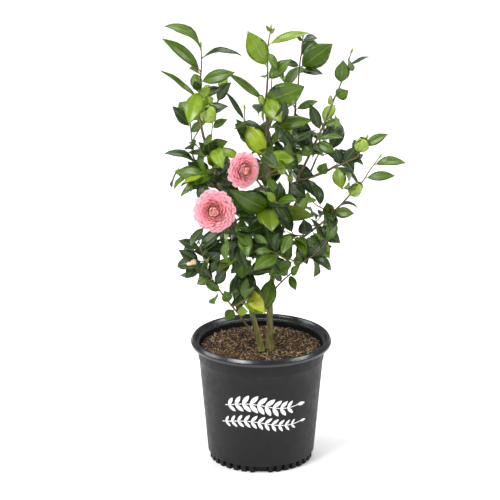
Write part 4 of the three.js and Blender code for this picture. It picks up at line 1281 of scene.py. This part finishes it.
def mix_surface(reach):
    """The bed that the chips lie on: a disc a little rough, lower at the wall."""
    middle = SOIL - 3 * MM
    verts = [(0, 0, middle)]
    for ring in range(1, MIX_RINGS + 1):
        part = ring / MIX_RINGS
        for side in range(MIX_SIDES):
            angle = 2 * math.pi * side / MIX_SIDES
            spot = Vector((math.cos(angle), math.sin(angle), 0)) * reach * part
            rough = noise.noise(spot * 60) * 2.2 * MM + noise.noise(spot * 170) * 1.0 * MM
            verts.append((spot.x, spot.y, middle - 2.5 * MM * part**3 + rough))
    faces = [(0, 1 + s, 1 + (s + 1) % MIX_SIDES) for s in range(MIX_SIDES)]
    for a in range(1, 1 + (MIX_RINGS - 1) * MIX_SIDES, MIX_SIDES):
        faces += ring_of_faces(range(a, a + MIX_SIDES), a + MIX_SIDES)
    return verts, faces


def ring_of_faces(inner, outer):
    """Faces between a ring of corners and the next ring, which starts at a number."""
    n = len(inner)
    return [(inner[s], outer + s, outer + (s + 1) % n, inner[(s + 1) % n]) for s in range(n)]


def make_mix(chip_finishes, dark):
    verts, faces = mix_surface(MIX_RADIUS - 6 * MM)
    chips = grown(
        "bark_chips", plain_mesh("mix_top", verts, (), faces), scatter_tree(), Shapes=chip_shapes(),
        Density=70000.0, Seed=4, Smallest=4.0 * MM, Largest=12.5 * MM, Tilt=0.55, Last_shape=CHIP_SHAPES - 1,
        **dict(zip(SKINS, chip_finishes)),
    )
    declare(chips, "bark_mix", "growing_mix")
    verts, faces = mix_surface(MIX_RADIUS - 0.4 * MM)
    base = len(verts)
    rim = range(base - MIX_SIDES, base)
    verts += [(verts[v][0] * MIX_TAPER, verts[v][1] * MIX_TAPER, 6 * MM) for v in rim]
    faces += ring_of_faces(rim, base)
    faces.append(tuple(reversed(range(base, base + MIX_SIDES))))
    body = plain_mesh("mix_body", verts, (), faces)
    body.materials.append(dark)
    body.shade_smooth()
    declare(in_scene("mix_body", body), "bark_mix", "growing_mix")


# ---------------------------------------------------------------- making the plant's pieces


def limb_mesh(name, limbs):
    """The centre lines of some limbs, each vertex with its thickness."""
    verts, edges, thick = [], [], []
    for limb in limbs:
        first = len(verts)
        verts += [tuple(p) for p in limb.points]
        thick += limb.radii
        edges += [(first + i, first + i + 1) for i in range(len(limb.points) - 1)]
    return plain_mesh(name, verts, edges, thick=("POINT", "FLOAT", "value", thick))


def make_wood(old_bark, young_bark, green_bark):
    tree = bark_tree()
    for number, name in enumerate((*STEMS, *BOUGHS)):
        sides, relief, bark, slot = (12, 0.4 * MM, young_bark, "young_bark")
        if name in STEMS:
            sides, relief, bark, slot = (20, 0.5 * MM, old_bark, "old_bark")
        piece = grown(
            name + "_bark", limb_mesh(name, [LIMBS[name]]), tree, Sides=sides, Relief=relief, Grain=260.0,
            Seed=float(number), Bark=bark,
        )
        declare(piece, slot, name)
    twigs = grown(
        "twigs", limb_mesh("twigs", [LIMBS[name] for name in SHOOTS] + TWIGS), tree, Sides=8, Relief=0.3 * MM,
        Grain=300.0, Seed=40.0, Bark=green_bark,
    )
    declare(twigs, "young_bark")


def make_leaves(finishes):
    """One piece of each tint, which together stand for the masses of their slot."""
    shapes = leaf_shapes()
    tree = stations_tree()
    slots = dict(zip(TINTS, ("deep_leaves", "leaves", "fresh_leaves", "fresh_leaves", "fresh_leaves")))
    masses = {}
    for part in frame["record"]["subparts"]:
        masses.setdefault(part["material_slot"], []).append(part["node"])
    for tint in TINTS:
        skins = dict(zip(SKINS, finishes[tint]))
        piece = grown("leaves_" + tint, LEAVES[tint].mesh(tint), tree, Shapes=shapes, **skins)
        declare(piece, slots[tint], *(masses[slots[tint]] if tint in ("deep", "green", "fresh") else ()))


def make_blossom(petal_materials, bud_materials):
    tree = stations_tree()
    shapes = petal_shapes()
    for name, petals, material in zip(("heart", "inner", "middle", "outer"), PETALS, petal_materials):
        coats = dict.fromkeys(SKINS, material)
        declare(grown("petals_" + name, petals.mesh(name), tree, Shapes=shapes, **coats), "petals")
    shapes = scale_shapes()
    for kind, material in bud_materials.items():
        coats = dict.fromkeys(SKINS, material)
        piece = grown("buds_" + kind, SCALES[kind].mesh(kind), tree, Shapes=shapes, **coats)
        declare(piece, "buds" if kind == "green" else "petals")


# ---------------------------------------------------------------- studio

FLOOR_REACH = 40.0
AIM = Vector((0, 0, 0.45))  # what the softboxes are turned to
# name: (place, size, power), in metres and watts
SOFTBOXES = {
    "key_softbox": ((-3.0, -3.2, 5.2), 2.6, 400),
    "right_softbox": ((4.8, -1.2, 3.8), 2.4, 180),
    "left_softbox": ((-4.8, 0.6, 3.2), 2.4, 120),
    "top_softbox": ((0.4, 1.6, 6.0), 3.6, 260),
}


def make_studio():
    paint = Finish("pale_floor", (0.9, 0.9, 0.9), 0.75)
    paint.coloured(paint.grain(0.7, 2), (0.3, 0.895), (0.7, 0.905))
    corners = [(x * FLOOR_REACH, y * FLOOR_REACH, 0) for x, y in ((-1, -1), (1, -1), (1, 1), (-1, 1))]
    mesh = plain_mesh("studio_floor", corners, (), [(0, 1, 2, 3)])
    mesh.materials.append(paint.material)
    in_scene("studio_floor", mesh)

    world = bpy.data.worlds.new("studio_air")
    world.use_nodes = True
    air = world.node_tree.nodes["Background"]
    air.inputs["Color"].default_value = (1, 1, 1, 1)
    air.inputs["Strength"].default_value = 0.34
    bpy.context.scene.world = world

    for name, (place, size, power) in SOFTBOXES.items():
        lamp = bpy.data.lights.new(name, "AREA")
        lamp.shape = "SQUARE"
        lamp.size = size
        lamp.energy = power
        holder = in_scene(name, lamp)
        holder.location = place
        holder.rotation_euler = (AIM - Vector(place)).to_track_quat("-Z", "Y").to_euler()


def make_camera():
    """A long lens 6.2 m in front of the shrub."""
    lens = bpy.data.cameras.new("camera")
    lens.sensor_width = 36
    lens.lens = 237.6
    lens.clip_end = 60
    camera = in_scene("camera", lens)
    camera.location = (-0.0221, -6.15, 2.538)
    camera.rotation_euler = (math.pi / 2 - LOOK_DOWN, 0, 0)
    bpy.context.scene.camera = camera
    bpy.context.scene.view_settings.view_transform = "Standard"


def main():
    make_studio()
    make_camera()
    grow_limbs()
    set_key_leaves()
    clothe_shoots()
    fill_masses()
    set_blooms_and_buds()
    make_pot(pot_finish(), rim_finish())
    make_print(Finish("white_ink", (0.86, 0.86, 0.85), 0.5).material)
    make_mix(
        (chip_finish("dark_chip", (0.026, 0.012, 0.006)), chip_finish("brown_chip", (0.105, 0.05, 0.018)),
         chip_finish("pale_chip", (0.46, 0.32, 0.15))),
        chip_finish("mix_bed", (0.012, 0.006, 0.003)),
    )
    make_wood(
        bark_finish("old_stem_bark", (0.05, 0.05, 0.012), (0.15, 0.14, 0.03), (0.26, 0.23, 0.07), 240),
        bark_finish("young_bough_bark", (0.045, 0.032, 0.013), (0.11, 0.082, 0.034), (0.21, 0.16, 0.08), 300),
        bark_finish("green_twig_bark", (0.06, 0.034, 0.012), (0.15, 0.1, 0.036), (0.21, 0.18, 0.05), 320),
    )
    make_leaves({
        "deep": leaf_finishes("deep", (0.016, 0.04, 0.003)),
        "green": leaf_finishes("green", (0.06, 0.122, 0.003)),
        "bright": leaf_finishes("bright", (0.15, 0.24, 0.005)),
        "fresh": leaf_finishes("fresh", (0.24, 0.33, 0.008)),
        "yellow": leaf_finishes("yellow", (0.4, 0.42, 0.02), (0.45, 0.46, 0.06)),
    })
    make_blossom(
        # each ring's first colour darkens its petals' claws, painted shade where the petals overlap
        (petal_finish("heart_petal", (0.76, 0.16, 0.12), (0.88, 0.28, 0.2)),
         petal_finish("inner_petal", (0.76, 0.16, 0.19), (0.89, 0.34, 0.36)),
         petal_finish("middle_petal", (0.66, 0.07, 0.12), (0.87, 0.3, 0.35)),
         petal_finish("outer_petal", (0.62, 0.05, 0.11), (0.86, 0.29, 0.37))),
        {"green": bud_finish("bud_scale_green", (0.24, 0.34, 0.04)),
         "peach": bud_finish("bud_scale_peach", (0.8, 0.55, 0.33))},
    )


main()
